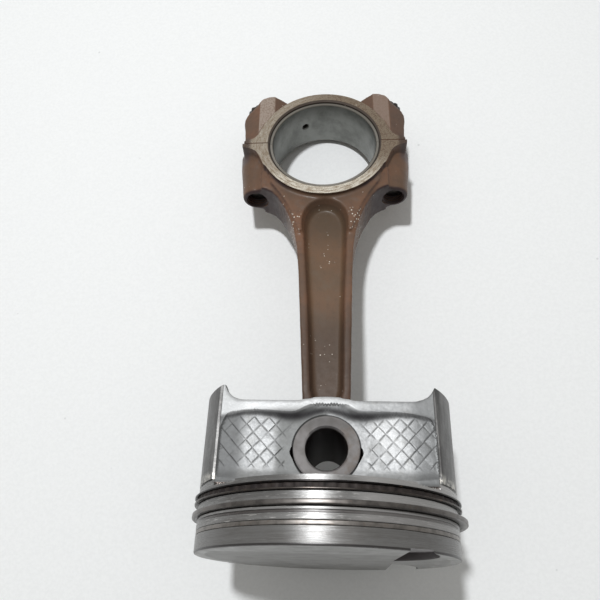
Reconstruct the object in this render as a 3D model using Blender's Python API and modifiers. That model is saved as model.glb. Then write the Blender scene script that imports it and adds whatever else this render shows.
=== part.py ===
"""Car-size piston with its connecting rod, as separate pieces with real joints.

Frame: origin at the centre of the flat crown face, +X across the thrust faces,
+Y from the crown to the big end, +Z along the wrist pin. Metres.
In names, right and left are +X and -X, front and back are +Z and -Z.
The outline tables are in millimetres, and cutters simply reach past what they cut.
"""
import math

import bmesh
import bpy
from mathutils import Euler, Matrix, Vector

MM = 0.001

# ---- dimensions shared between pieces ----
COMP_HEIGHT = 29.7 * MM           # crown face to pin centre
PIN_R = 10.5 * MM
ROD_LENGTH = 134.0 * MM           # pin centre to crankpin centre
BIG_Y = COMP_HEIGHT + ROD_LENGTH  # crankpin centre
BIG_HALF = 12.26 * MM             # half width of the machined big-end faces
HOUSING_R = 23.55 * MM            # bore that holds the bearing shells
RIM_R = 27.6 * MM
JOINT_GAP = 0.06 * MM             # each side of the joint plane
BOLT_X = 29.0 * MM
BOLT_SEAT = 22.0 * MM             # from the joint plane
OIL_HOLE_ANGLE = math.radians(23.0)   # from +Y towards -X
OIL_HOLE_R = 1.25 * MM
REST_SWING = math.radians(1.1)    # how far the rod lies turned about the pin

BODY_STEPS = 72
PIN_STEPS = 48
COUNTERBORE_STEPS = 36
BOLT_STEPS = 24
OIL_HOLE_STEPS = 16
SMALL_HOLE_STEPS = 12

SHARP_ANGLE = math.radians(35.0)  # edges steeper than this are shaded sharp
WELD = 0.000001                   # vertices closer than this are merged

SIDES = ((1, "front"), (-1, "back"))
HANDS = ((1, "right"), (-1, "left"))

for stale in list(bpy.data.objects):
    bpy.data.objects.remove(stale, do_unlink=True)

PARTS = bpy.data.collections.new("piston_and_rod")
CUTTERS = bpy.data.collections.new("cutters")
bpy.context.scene.collection.children.link(PARTS)
bpy.context.scene.collection.children.link(CUTTERS)


# ---------------------------------------------------------------- materials
def material(name, color, metallic, roughness):
    made = bpy.data.materials.new(name)
    made.use_nodes = True
    shader = made.node_tree.nodes["Principled BSDF"]
    shader.inputs["Base Color"].default_value = (*color, 1.0)
    shader.inputs["Metallic"].default_value = metallic
    shader.inputs["Roughness"].default_value = roughness
    return made


CAST = material("cast_aluminium", color=(0.52, 0.52, 0.51), metallic=0.9, roughness=0.38)
RING_STEEL = material("ring_steel", color=(0.07, 0.065, 0.06), metallic=0.8, roughness=0.42)
RAIL_STEEL = material("rail_steel", color=(0.09, 0.085, 0.08), metallic=0.85, roughness=0.38)
PIN_STEEL = material("pin_steel", color=(0.34, 0.33, 0.33), metallic=0.95, roughness=0.32)
FORGED = material(
    "varnished_forging", color=(0.125, 0.075, 0.052), metallic=0.25, roughness=0.42
)
SHELL_ALLOY = material("shell_alloy", color=(0.17, 0.175, 0.165), metallic=0.75, roughness=0.36)
BOLT_STEEL = material("bolt_steel", color=(0.03, 0.027, 0.026), metallic=0.6, roughness=0.45)


# ---------------------------------------------------------------- outlines
def span(side, near, far):
    """The z range from near to far on one side of the middle plane, low end first."""
    return sorted((side * near, side * far))


def mirrored(half):
    """A half outline on +X, closed by its mirror on -X."""
    return list(half) + [(-x, y) for x, y in reversed(half) if abs(x) > 1e-9]


def in_metres(outline):
    return [(x * MM, y * MM) for x, y in outline]


def from_crankpin(outline):
    """Millimetre points measured from the crankpin centre, placed in the frame."""
    return [(x * MM, y * MM + BIG_Y) for x, y in outline]


# ---------------------------------------------------------------- solids
def add(name, mesh, collection):
    made = bpy.data.objects.new(name, mesh)
    collection.objects.link(made)
    if collection is CUTTERS:
        made.hide_render = True
        made.display_type = "WIRE"
    return made


def turned(name, profile, steps, collection=CUTTERS, axis="Y", centre=(0.0, 0.0, 0.0)):
    """A (radius, height) outline turned about the axis.

    An outline whose ends lie on the axis makes a solid, and any other is closed into a ring.
    """
    points = list(profile)
    area = sum(
        r1 * h2 - r2 * h1 for (r1, h1), (r2, h2) in zip(points, points[1:] + points[:1])
    )
    if area > 0:
        points.reverse()
    count = len(points)
    edges = [(i, i + 1) for i in range(count - 1)]
    on_axis = points[0][0] < 1e-9 and points[-1][0] < 1e-9
    if not on_axis:
        edges.append((count - 1, 0))
    mesh = bpy.data.meshes.new(name)
    mesh.from_pydata([(radius, 0.0, height) for radius, height in points], edges, [])
    made = add(name, mesh, collection)
    screw = made.modifiers.new("turn", "SCREW")
    screw.axis = "Z"
    screw.steps = steps
    screw.render_steps = steps
    screw.use_merge_vertices = True
    screw.merge_threshold = WELD
    screw.use_smooth_shade = False
    if axis == "Y":
        made.rotation_euler = (-math.pi / 2, 0.0, 0.0)
    made.location = centre
    return made


def turned_across(name, back_half, steps, y, collection=CUTTERS):
    """A profile turned about the line along Z at y. The -Z half is given, +Z mirrors it."""
    profile = back_half + [(radius, -height) for radius, height in reversed(back_half)]
    return turned(name, profile, steps, collection, axis="Z", centre=(0.0, y, 0.0))


def plate(name, outline, z_low, z_high, collection=CUTTERS):
    """A flat outline in the XY plane, as thick as z_low to z_high."""
    curve = bpy.data.curves.new(name, "CURVE")
    curve.dimensions = "2D"
    curve.fill_mode = "BOTH"
    curve.extrude = (z_high - z_low) / 2
    spline = curve.splines.new("POLY")
    spline.points.add(len(outline) - 1)
    for point, (x, y) in zip(spline.points, outline):
        point.co = (x, y, 0.0, 1.0)
    spline.use_cyclic_u = True
    guide = bpy.data.objects.new(name + "_outline", curve)
    CUTTERS.objects.link(guide)
    bpy.context.view_layer.update()
    graph = bpy.context.evaluated_depsgraph_get()
    mesh = bpy.data.meshes.new_from_object(guide.evaluated_get(graph))
    bpy.data.objects.remove(guide, do_unlink=True)
    work = bmesh.new()
    work.from_mesh(mesh)
    bmesh.ops.remove_doubles(work, verts=work.verts, dist=WELD)
    bmesh.ops.recalc_face_normals(work, faces=work.faces)
    work.to_mesh(mesh)
    work.free()
    made = add(name, mesh, collection)
    made.location = (0.0, 0.0, (z_high + z_low) / 2)
    return made


def big_end_plate(name, half_outline, half_width, collection=CUTTERS):
    """A plate centred on z = 0, from a half outline measured from the crankpin centre."""
    outline = from_crankpin(mirrored(half_outline))
    return plate(name, outline, -half_width, half_width, collection)


def box(name, size, centre):
    mesh = bpy.data.meshes.new(name)
    work = bmesh.new()
    bmesh.ops.create_cube(work, size=1.0, matrix=Matrix.Diagonal((*size, 1.0)))
    work.to_mesh(mesh)
    work.free()
    made = add(name, mesh, CUTTERS)
    made.location = centre
    return made


def block(name, low, high):
    """A box between two opposite corners."""
    size = [b - a for a, b in zip(low, high)]
    middle = [(a + b) / 2 for a, b in zip(low, high)]
    return box(name, size, middle)


def leaning_box(name, size, anchor, offset, turn_y, turn_z=0.0):
    """A box turned about the anchor, in degrees. The offset to its centre turns with it."""
    turn = Euler((0.0, math.radians(turn_y), math.radians(turn_z)))
    made = box(name, size, Vector(anchor) + turn.to_matrix() @ Vector(offset))
    made.rotation_euler = turn
    return made


def cylinder(name, radius, start, end, steps):
    start, end = Vector(start), Vector(end)
    mesh = bpy.data.meshes.new(name)
    work = bmesh.new()
    bmesh.ops.create_cone(
        work,
        cap_ends=True,
        segments=steps,
        radius1=radius,
        radius2=radius,
        depth=(end - start).length,
    )
    work.to_mesh(mesh)
    work.free()
    made = add(name, mesh, CUTTERS)
    made.rotation_mode = "QUATERNION"
    made.rotation_quaternion = (end - start).to_track_quat("Z", "Y")
    made.location = (start + end) / 2
    return made


def disc(name, radius, y, half_width, steps):
    """A cylinder along Z, centred on z = 0."""
    return cylinder(name, radius, (0, y, -half_width), (0, y, half_width), steps)


# ---------------------------------------------------------------- operations
def combine(target, other, operation):
    step = target.modifiers.new(operation.lower(), "BOOLEAN")
    step.operation = operation
    step.solver = "EXACT"
    step.object = other


def cut(target, tool):
    combine(target, tool, "DIFFERENCE")


def join(target, other):
    combine(target, other, "UNION")


def finish(piece, paint):
    """Applies the piece's modifiers, then paints and shades the plain mesh."""
    bpy.context.view_layer.update()
    graph = bpy.context.evaluated_depsgraph_get()
    mesh = bpy.data.meshes.new_from_object(piece.evaluated_get(graph))
    piece.modifiers.clear()
    piece.data = mesh
    mesh.name = piece.name
    mesh.materials.clear()
    mesh.materials.append(paint)
    mesh.shade_smooth()
    mesh.set_sharp_from_angle(angle=SHARP_ANGLE)


def pin_hole(name, radius, reach):
    """A cutter along the pin axis."""
    return turned_across(name, [(0.0, -reach), (radius, -reach)], PIN_STEPS, COMP_HEIGHT)


# ---------------------------------------------------------------- piston body
LAND_R = 42.0 * MM                # ring lands
SKIRT_R = 42.05 * MM              # thrust faces
EDGE = 0.5 * MM                   # chamfers at the crown and at the skirt's open end
SKIRT_END = 49.6 * MM             # crown face to the end of the thrust skirts
BELT_END = 18.2 * MM              # crown face to the back of the ring belt
GROOVES = ((5.1 * MM, 6.5 * MM), (10.0 * MM, 11.6 * MM), (14.0 * MM, 16.6 * MM))
GROOVE_ROOT_R = 37.9 * MM
RELIEF = (18.9 * MM, 19.6 * MM)   # shallow relief between the belt and the skirt
RELIEF_DEPTH = 0.5 * MM

BOX_Z = 24.2 * MM                 # half width over the raised rims of the boss walls
PANEL_Z = 22.7 * MM               # half width over the recessed panels
# (x, y) of the raised rim's edge, which bulges over the pin
PANEL_RIM = [(31.0, 41.8), (12.0, 41.8), (8.0, 42.0), (4.5, 42.8), (0.0, 43.1)]
PANEL_RIGHT = [(33.5, 18.55), (34.2, 42.3)]
PANEL_LEFT = [(-33.4, 42.3), (-33.6, 18.55)]
# (x, y) half outline of what is cut away beyond the boss walls, between the skirts
WALL_END = [
    (33.3, 60.0), (33.1, 50.2), (32.3, 48.4), (31.3, 46.8), (30.3, 45.9), (29.0, 45.3),
    (27.4, 45.0), (10.5, 45.0), (8.0, 45.1), (5.5, 45.6), (3.0, 46.1), (0.0, 46.3),
]
# the +X half of that outline is drawn outwards, in mm of x
FLARE_START = 27.0
FLARE_LENGTH = WALL_END[0][0] - FLARE_START
FLARE = 1.2

# draft of the +X skirt towards its open end
DRAFT_SIZE = (6 * MM, 52 * MM, 4 * MM)
DRAFT_OFFSET = (0.0, 27 * MM, 2 * MM)
DRAFT_X = 34.39 * MM
DRAFT_Y = 19.7 * MM
DRAFT_LEAN = 0.8                  # degrees, towards -X
DRAFT_FACE = 42.0                 # degrees away from square to the thrust axis

CROWN_T = 8.0 * MM
INNER_Z = 18.7 * MM               # inside of the boss walls
SKIRT_IN_R = 38.6 * MM
BELT_IN_R = 33.2 * MM
# (radius, y) of the hollow under the crown
UNDER_CROWN = [
    (0.0, CROWN_T), (BELT_IN_R - 4 * MM, CROWN_T), (BELT_IN_R - 1.2 * MM, CROWN_T + 1.2 * MM),
    (BELT_IN_R, CROWN_T + 4 * MM), (BELT_IN_R, 19.2 * MM), (SKIRT_IN_R, 23.5 * MM),
    (SKIRT_IN_R, 70 * MM), (0.0, 70 * MM),
]
# (radius, y) of the pockets into the back of the belt, outside the boss walls
BELT_POCKET = [(0.0, 10.5), (31.5, 10.5), (33.0, 12.0), (34.0, 25.0), (0.0, 25.0)]
BELT_POCKET_Z = 25.6 * MM

BOSS_R = 15.0 * MM
BOSS_GAP_Z = 11.8 * MM            # inner faces of the pin bosses
BOSS_ROOT_Z = 20.6 * MM           # where the bosses end inside the walls
STRUT_Z = (BOSS_GAP_Z + 0.7 * MM, 20.1 * MM)
STRUT_X = 8.5 * MM
STRUT_Y = (6 * MM, 24 * MM)
PIN_RUNNING = 0.08 * MM           # radial running clearance in the bosses
PIN_RELIEF_R = 1.5 * MM           # grooves along the sides of the pin bore
PIN_RELIEF_X = 10.4 * MM
PIN_RELIEF_Y = COMP_HEIGHT - 1.2 * MM

DRAIN_ANGLES = (22, -22, 158, -158)   # degrees from +X towards +Z
DRAIN_R = 1.1 * MM
DRAIN_Y = sum(GROOVES[2]) / 2
DRAIN_REACH = (28 * MM, 40 * MM)

# Valve pockets, in mm: x, z, radius, depth, lean (z per y),
# then x and z of the chord that cuts the pocket off, and the chord's turn in degrees
VALVE_POCKETS = {
    "front": (15.05, 19.97, 17.2, 1.53, 0.054, 21.7, 18.0, 3.4),
    "back": (11.5, -25.0, 20.2, 2.2, 0.0, 21.3, -25.0, 0.0),
}
VALVE_POCKET_STEPS = 48
VALVE_START = 6                   # mm the pocket cutter stands out of the crown


def body_blank():
    profile = [(0.0, 0.0), (LAND_R - EDGE, 0.0), (LAND_R, EDGE)]
    for low, high in GROOVES:
        profile += [(LAND_R, low), (GROOVE_ROOT_R, low), (GROOVE_ROOT_R, high), (LAND_R, high)]
    profile += [
        (LAND_R, RELIEF[0]),
        (LAND_R - RELIEF_DEPTH, RELIEF[0]),
        (LAND_R - RELIEF_DEPTH, RELIEF[1]),
        (SKIRT_R, RELIEF[1]),
        (SKIRT_R, SKIRT_END - EDGE),
        (SKIRT_R - EDGE, SKIRT_END),
        (0.0, SKIRT_END),
    ]
    return turned("piston_body", profile, BODY_STEPS, PARTS)


def shape_outside(body):
    panel = in_metres(PANEL_RIGHT + mirrored(PANEL_RIM) + PANEL_LEFT)
    for side, tag in SIDES:
        low, high = span(side, BOX_Z, 60 * MM)
        cut(body, block(f"slab_{tag}", (-60 * MM, BELT_END, low), (60 * MM, 60 * MM, high)))
        cut(body, plate(f"panel_{tag}", panel, *span(side, PANEL_Z, 30 * MM)))

    wall_end = [
        (x + FLARE * max(0.0, x - FLARE_START) / FLARE_LENGTH, y) for x, y in mirrored(WALL_END)
    ]
    cut(body, plate("wall_end", in_metres(wall_end), -40 * MM, 40 * MM))

    for side, tag in SIDES:
        draft = leaning_box(
            f"skirt_draft_{tag}", DRAFT_SIZE, (DRAFT_X, DRAFT_Y, side * BOX_Z), DRAFT_OFFSET,
            turn_y=90.0 - side * DRAFT_FACE, turn_z=DRAFT_LEAN,
        )
        cut(body, draft)


def hollow_out(body):
    under = turned("under_crown", UNDER_CROWN, BODY_STEPS)
    width = block("under_crown_width", (-60 * MM, 0.0, -INNER_Z), (60 * MM, 80 * MM, INNER_Z))
    combine(under, width, "INTERSECT")
    cut(body, under)


def add_boss(body, side, tag):
    """One side's belt pocket, pin boss, strut up to the crown and bore grooves."""
    pocket = turned(f"belt_pocket_{tag}", in_metres(BELT_POCKET), BODY_STEPS)
    low, high = span(side, BELT_POCKET_Z, 60 * MM)
    outside = block(f"belt_pocket_box_{tag}", (-60 * MM, 0.0, low), (60 * MM, 40 * MM, high))
    combine(pocket, outside, "INTERSECT")
    cut(body, pocket)

    boss = cylinder(
        f"boss_{tag}", BOSS_R,
        (0, COMP_HEIGHT, side * BOSS_GAP_Z), (0, COMP_HEIGHT, side * BOSS_ROOT_Z), PIN_STEPS,
    )
    join(body, boss)
    low, high = span(side, *STRUT_Z)
    strut = block(f"boss_strut_{tag}", (-STRUT_X, STRUT_Y[0], low), (STRUT_X, STRUT_Y[1], high))
    join(body, strut)
    for hand, hand_tag in HANDS:
        groove = cylinder(
            f"pin_relief_{tag}_{hand_tag}", PIN_RELIEF_R,
            (hand * PIN_RELIEF_X, PIN_RELIEF_Y, side * 8 * MM),
            (hand * PIN_RELIEF_X, PIN_RELIEF_Y, side * 40 * MM), SMALL_HOLE_STEPS,
        )
        cut(body, groove)


def drill_oil_drains(body):
    """Radial holes through the root of the third groove."""
    for number, degrees in enumerate(DRAIN_ANGLES):
        angle = math.radians(degrees)
        start, end = (
            (reach * math.cos(angle), DRAIN_Y, reach * math.sin(angle)) for reach in DRAIN_REACH
        )
        cut(body, cylinder(f"oil_drain_{number}", DRAIN_R, start, end, SMALL_HOLE_STEPS))


def sink_valve_pockets(body):
    """Two pockets of different size, both running out through the crown's edge."""
    for tag, row in VALVE_POCKETS.items():
        x, z, radius, depth, lean, chord_x, chord_z, chord_turn = row
        pocket = cylinder(
            f"valve_pocket_{tag}", radius * MM,
            (x * MM, -VALVE_START * MM, (z - lean * (VALVE_START + depth)) * MM),
            (x * MM, depth * MM, z * MM), VALVE_POCKET_STEPS,
        )
        chord = leaning_box(
            f"valve_chord_{tag}", (80 * MM, 40 * MM, 120 * MM),
            (chord_x * MM, 0.0, chord_z * MM), (-40 * MM, 0.0, 0.0), turn_y=chord_turn,
        )
        cut(pocket, chord)
        cut(body, pocket)


def build_body():
    body = body_blank()
    shape_outside(body)
    hollow_out(body)
    for side, tag in SIDES:
        add_boss(body, side, tag)
    cut(body, pin_hole("pin_bore", PIN_R + PIN_RUNNING, 40 * MM))
    drill_oil_drains(body)
    sink_valve_pockets(body)
    finish(body, CAST)


# ---------------------------------------------------------------- rings
# In mm: outer radius, inner radius, low y, high y, rest offset along +X, gap width,
# then the gap's angle in degrees from +X towards +Z
RINGS = {
    "top_compression_ring": (41.95, 38.6, 5.2, 6.4, 0.0, 0.7, -95.0),
    "second_compression_ring": (44.2, 40.7, 10.1, 11.45, 0.6, 12.0, -70.0),
    "oil_ring_lower_rail": (43.2, 40.4, 14.12, 14.62, 0.0, 7.0, -120.0),
    "oil_ring_expander": (41.4, 38.4, 14.7, 15.9, 0.0, 0.6, -90.0),
    "oil_ring_upper_rail": (43.2, 40.4, 15.98, 16.48, 0.0, 7.0, -60.0),
}
RING_EDGE = 0.15 * MM             # outer chamfers of the compression rings


def build_ring(name, sizes, gap_angle):
    outer, inner, low, high, shift, gap = (size * MM for size in sizes)
    face = [(outer, low), (outer, high)]
    if "compression" in name:
        face = [
            (outer - RING_EDGE, low), (outer, low + RING_EDGE),
            (outer, high - RING_EDGE), (outer - RING_EDGE, high),
        ]
    section = [(inner, low)] + face + [(inner, high)]
    ring = turned(name, section, BODY_STEPS, PARTS, centre=(shift, 0.0, 0.0))
    opening = leaning_box(
        f"{name}_gap", (20 * MM, high - low + 4 * MM, gap),
        (shift, (low + high) / 2, 0.0), (40 * MM, 0.0, 0.0), turn_y=-gap_angle,
    )
    cut(ring, opening)
    finish(ring, RAIL_STEEL if "oil" in name else RING_STEEL)


# ---------------------------------------------------------------- wrist pin
PIN_BORE_R = 6.5 * MM
PIN_HALF = 23.25 * MM
PIN_EDGE = 0.5 * MM
PIN_BORE_EDGE = 0.6 * MM


def build_wrist_pin():
    back_half = [
        (PIN_BORE_R, -PIN_HALF + PIN_BORE_EDGE), (PIN_BORE_R + PIN_BORE_EDGE, -PIN_HALF),
        (PIN_R - PIN_EDGE, -PIN_HALF), (PIN_R, -PIN_HALF + PIN_EDGE),
    ]
    finish(turned_across("wrist_pin", back_half, PIN_STEPS, COMP_HEIGHT, PARTS), PIN_STEEL)


# ---------------------------------------------------------------- shared by rod and cap
BAND_HALF = 12.1 * MM             # the wings of the machined faces along the joint
WING_CREST = 32.2 * MM            # |x| where the wings' ends start to slope off
WING_TILT = 33.0                  # degrees
HOUSING_EDGE = 0.5 * MM


def slope_off(piece, name, hand, side, crest, level, tilt, y):
    """Slopes one flat face down from the line |x| = crest: outwards, or inwards if tilt < 0."""
    tool = leaning_box(
        name, (20 * MM, 80 * MM, 8 * MM), (hand * crest, y, side * level),
        (0.0, 0.0, side * 4 * MM), turn_y=hand * side * tilt,
    )
    cut(piece, tool)


def join_wings(piece, name, outline):
    """The two wings of a machined face, sloped off at their outer ends."""
    for hand, hand_tag in HANDS:
        wing_name = f"{name}_{hand_tag}"
        points = from_crankpin([(hand * x, y) for x, y in outline])
        wing = plate(wing_name, points, -BAND_HALF, BAND_HALF)
        for side, tag in SIDES:
            slope_off(
                wing, f"{wing_name}_end_{tag}", hand, side, WING_CREST, BAND_HALF, WING_TILT, BIG_Y
            )
        join(piece, wing)


def cut_at_joint(piece, name, side, reach):
    """Keeps the piece on one side of the joint plane: +1 for the cap's, -1 for the rod's."""
    low, high = sorted((BIG_Y + side * JOINT_GAP, BIG_Y - side * reach))
    cut(piece, block(name, (-reach, low, -30 * MM), (reach, high, 30 * MM)))


def cut_housing(piece, name):
    """The bearing housing bore, with its chamfered ends."""
    mouth_r = HOUSING_R + HOUSING_EDGE
    back_half = [
        (0.0, -30 * MM), (mouth_r, -30 * MM), (mouth_r, -BIG_HALF),
        (HOUSING_R, -BIG_HALF + HOUSING_EDGE),
    ]
    cut(piece, turned_across(name, back_half, BODY_STEPS, BIG_Y))


def drill_on_bolt(piece, name, hand, radius, start, end, steps=BOLT_STEPS):
    """A hole on a bolt's axis, with its ends measured from the joint plane."""
    x = hand * BOLT_X
    cut(piece, cylinder(name, radius, (x, BIG_Y + start, 0), (x, BIG_Y + end, 0), steps))


def drill_oil_hole(piece, name, near, far):
    """A radial hole between two distances from the crankpin centre."""
    centre = Vector((0.0, BIG_Y, 0.0))
    out = Vector((-math.sin(OIL_HOLE_ANGLE), math.cos(OIL_HOLE_ANGLE), 0.0))
    cut(piece, cylinder(name, OIL_HOLE_R, centre + out * near, centre + out * far, OIL_HOLE_STEPS))


# ---------------------------------------------------------------- connecting rod
SMALL_R = 15.2 * MM
SMALL_HALF = 10.4 * MM
PRESS_GAP = 0.06 * MM             # radial, between the pin and the small end
SHANK_HALF = 8.6 * MM
FILLET_HALF = 8.9 * MM            # the fillet between the shank and the shoulders
NECK_HALF = 10.0 * MM
CHANNEL_FLOOR = 4.8 * MM          # half thickness of the web
ROD_HOLE_R = 4.2 * MM

# Half outlines, (x, y) from the crankpin centre
SHANK = [
    (0.0, -132.0), (8.3, -132.0), (8.4, -113.0), (9.1, -96.0), (9.8, -78.0), (10.5, -61.0),
    (11.3, -50.0), (12.6, -42.5), (14.4, -36.6), (16.6, -31.4), (18.3, -27.9), (18.3, -8.0),
    (0.0, -8.0),
]
FILLET = [
    (0.0, -33.5), (15.2, -33.5), (17.0, -30.9), (19.5, -26.4), (22.0, -23.6), (25.0, -21.9),
    (26.6, -21.5), (26.6, -12.0), (0.0, -12.0),
]
NECK = [
    (0.0, -44.0), (10.4, -44.0), (12.4, -38.5), (15.0, -31.4), (18.5, -25.2), (22.5, -19.5),
    (24.0, -10.0), (0.0, -10.0),
]
CHANNEL = [
    (0.0, -29.0), (3.0, -29.6), (5.6, -31.2), (7.6, -34.0), (8.6, -37.5), (8.7, -41.0),
    (7.9, -56.0), (6.9, -74.5), (6.2, -95.0), (5.7, -110.0), (4.6, -114.0), (2.6, -116.2),
    (0.0, -117.0),
]
# (x, y) of one wing, from the crankpin centre
ROD_WING = [
    (20.0, -12.0), (25.6, -12.0), (27.0, -8.6), (28.0, -6.2), (29.0, -4.5), (30.5, -3.3),
    (32.5, -2.5), (35.2, -1.8), (35.2, 1.0), (20.0, 1.0),
]
# Bolt boss sections, in mm: y from the joint, boss radius,
# half width at BOSS_SHOULDER_X, half width at BOSS_INNER_X
BOSS_SECTIONS = (
    (-21.2, 5.5, 8.6, 9.2),
    (-20.5, 6.2, 9.2, 9.8),
    (-13.6, 6.8, 9.3, 9.9),
    (-6.0, 7.6, 9.3, 9.9),
    (1.0, 7.8, 9.3, 9.9),
)
BOSS_INNER_X = 13.0 * MM
BOSS_SHOULDER_X = 22.0 * MM
BOSS_ARC_STEPS = 14


def bolt_boss(name, hand):
    """The rounded shoulder round one bolt hole, drawn through its sections."""
    points = []
    for section in BOSS_SECTIONS:
        y, radius, shoulder, inner = (size * MM for size in section)
        ring = [(BOSS_INNER_X, -inner), (BOSS_SHOULDER_X, -shoulder)]
        for i in range(BOSS_ARC_STEPS + 1):
            angle = math.radians(-90.0 + 180.0 * i / BOSS_ARC_STEPS)
            ring.append((BOLT_X + radius * math.cos(angle), radius * math.sin(angle)))
        ring += [(BOSS_SHOULDER_X, shoulder), (BOSS_INNER_X, inner)]
        points += [(hand * x, y + BIG_Y, z) for x, z in ring]
    count = len(ring)
    last = count * (len(BOSS_SECTIONS) - 1)
    faces = [list(range(count)), list(range(last, last + count))]
    for row in range(0, last, count):
        for i in range(count):
            j = (i + 1) % count
            faces.append([row + i, row + j, row + count + j, row + count + i])
    mesh = bpy.data.meshes.new(name)
    mesh.from_pydata(points, [], faces)
    work = bmesh.new()
    work.from_mesh(mesh)
    bmesh.ops.triangulate(work, faces=work.faces)
    bmesh.ops.recalc_face_normals(work, faces=work.faces)
    work.to_mesh(mesh)
    work.free()
    return add(name, mesh, CUTTERS)


def build_rod():
    rod = big_end_plate("connecting_rod", SHANK, SHANK_HALF, PARTS)
    join(rod, big_end_plate("rod_fillet", FILLET, FILLET_HALF))
    for hand, hand_tag in HANDS:
        join(rod, bolt_boss(f"rod_bolt_boss_{hand_tag}", hand))
    join(rod, big_end_plate("rod_neck", NECK, NECK_HALF))
    join(rod, disc("rod_rim", RIM_R, BIG_Y, BIG_HALF, BODY_STEPS))
    join_wings(rod, "rod_wing", ROD_WING)
    join(rod, disc("rod_small_end", SMALL_R, COMP_HEIGHT, SMALL_HALF, PIN_STEPS))

    channel = from_crankpin(mirrored(CHANNEL))
    for side, tag in SIDES:
        cut(rod, plate(f"rod_channel_{tag}", channel, *span(side, CHANNEL_FLOOR, 20 * MM)))
    cut_at_joint(rod, "rod_above_joint", -1, 60 * MM)
    cut_housing(rod, "rod_housing_bore")
    cut(rod, pin_hole("rod_small_bore", PIN_R + PRESS_GAP, 30 * MM))
    for hand, hand_tag in HANDS:
        drill_on_bolt(rod, f"rod_bolt_hole_{hand_tag}", hand, ROD_HOLE_R, -40 * MM, 20 * MM)
    finish(rod, FORGED)


# ---------------------------------------------------------------- bearing cap
CAP_HALF = 11.5 * MM
CAP_HOLE_R = 4.4 * MM
COUNTERBORE_R = 7.7 * MM
# Slopes of the cap's flat faces: label, |x| of the crest, degrees (negative runs inwards)
CAP_SLOPES = (("cap_flank", 28.5 * MM, 26.0), ("cap_valley", 21.9 * MM, -24.0))
CAP_SLOPE_Y = BIG_Y + 20 * MM
# Half outline, (x, y) from the crankpin centre
CAP = [
    (0.0, -1.0), (34.4, -1.0), (34.6, 3.0), (35.0, 10.5), (35.6, 15.0), (35.4, 17.6),
    (34.3, 19.9), (31.7, 21.8), (29.8, 23.4), (28.9, 24.8), (27.3, 26.8), (25.0, 27.8),
    (22.4, 28.2), (18.8, 27.0), (14.0, 25.2), (10.0, 24.4), (0.0, 24.4),
]
# (x, y) of one wing, from the crankpin centre
CAP_WING = [
    (20.0, -1.0), (34.4, -1.0), (34.4, 1.4), (32.5, 1.8), (30.6, 2.6), (29.0, 4.0),
    (28.0, 5.9), (27.1, 8.2), (25.7, 11.6), (20.0, 11.6),
]


def build_cap():
    cap = big_end_plate("bearing_cap", CAP, CAP_HALF, PARTS)
    for label, crest, tilt in CAP_SLOPES:
        for hand, hand_tag in HANDS:
            for side, tag in SIDES:
                name = f"{label}_{hand_tag}_{tag}"
                slope_off(cap, name, hand, side, crest, CAP_HALF, tilt, CAP_SLOPE_Y)
    join(cap, disc("cap_rim", RIM_R, BIG_Y, BIG_HALF, BODY_STEPS))
    join_wings(cap, "cap_wing", CAP_WING)
    cut_at_joint(cap, "cap_below_joint", 1, 60 * MM)
    cut_housing(cap, "cap_housing_bore")
    for hand, hand_tag in HANDS:
        drill_on_bolt(cap, f"cap_bolt_hole_{hand_tag}", hand, CAP_HOLE_R, -20 * MM, 60 * MM)
        drill_on_bolt(
            cap, f"cap_counterbore_{hand_tag}", hand, COUNTERBORE_R, BOLT_SEAT, 60 * MM,
            COUNTERBORE_STEPS,
        )
    drill_oil_hole(cap, "cap_oil_pocket", HOUSING_R - 3 * MM, HOUSING_R + 2.5 * MM)
    finish(cap, FORGED)


# ---------------------------------------------------------------- bearing shells
SHELL_IN_R = 22.0 * MM
SHELL_OUT_R = HOUSING_R - 0.08 * MM
SHELL_HALF = 11.1 * MM
SHELL_EDGE = 0.4 * MM


def build_shell(name, side):
    """A half shell on the cap's side (+1) or the rod's side (-1). The cap's has an oil hole."""
    back_half = [
        (SHELL_IN_R, -SHELL_HALF + SHELL_EDGE), (SHELL_IN_R + SHELL_EDGE, -SHELL_HALF),
        (SHELL_OUT_R, -SHELL_HALF),
    ]
    shell = turned_across(name, back_half, BODY_STEPS, BIG_Y, PARTS)
    cut_at_joint(shell, name + "_cut", side, 40 * MM)
    if side > 0:
        drill_oil_hole(shell, "shell_oil_hole", 18 * MM, 26 * MM)
    finish(shell, SHELL_ALLOY)


# ---------------------------------------------------------------- rod bolts
BOLT_R = 4.0 * MM
BOLT_TIP = -17.5 * MM             # from the joint plane
BOLT_EDGE = 1.0 * MM
HEAD_START = BOLT_SEAT + 0.06 * MM
HEAD_TOP = HEAD_START + 7.4 * MM
HEAD_R = 6.2 * MM
HEAD_EDGE = 0.6 * MM
FLANGE_R = 6.9 * MM
FLANGE_T = 1.0 * MM
FLANGE_SLOPE = 0.5 * MM           # height of the slope from the flange to the head
# (radius, y from the joint plane)
BOLT = [
    (0.0, BOLT_TIP), (BOLT_R - BOLT_EDGE, BOLT_TIP), (BOLT_R, BOLT_TIP + BOLT_EDGE),
    (BOLT_R, HEAD_START), (FLANGE_R, HEAD_START), (FLANGE_R, HEAD_START + FLANGE_T),
    (HEAD_R, HEAD_START + FLANGE_T + FLANGE_SLOPE), (HEAD_R, HEAD_TOP - HEAD_EDGE),
    (HEAD_R - HEAD_EDGE, HEAD_TOP), (0.0, HEAD_TOP),
]


def build_bolt(hand, hand_tag):
    centre = (hand * BOLT_X, BIG_Y, 0.0)
    finish(turned(f"rod_bolt_{hand_tag}", BOLT, BOLT_STEPS, PARTS, centre=centre), BOLT_STEEL)


# ---------------------------------------------------------------- assembly
HUNG_PIECES = (
    "wrist_pin", "connecting_rod", "bearing_cap", "rod_bearing_shell", "cap_bearing_shell",
    "rod_bolt_left", "rod_bolt_right",
)


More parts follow.
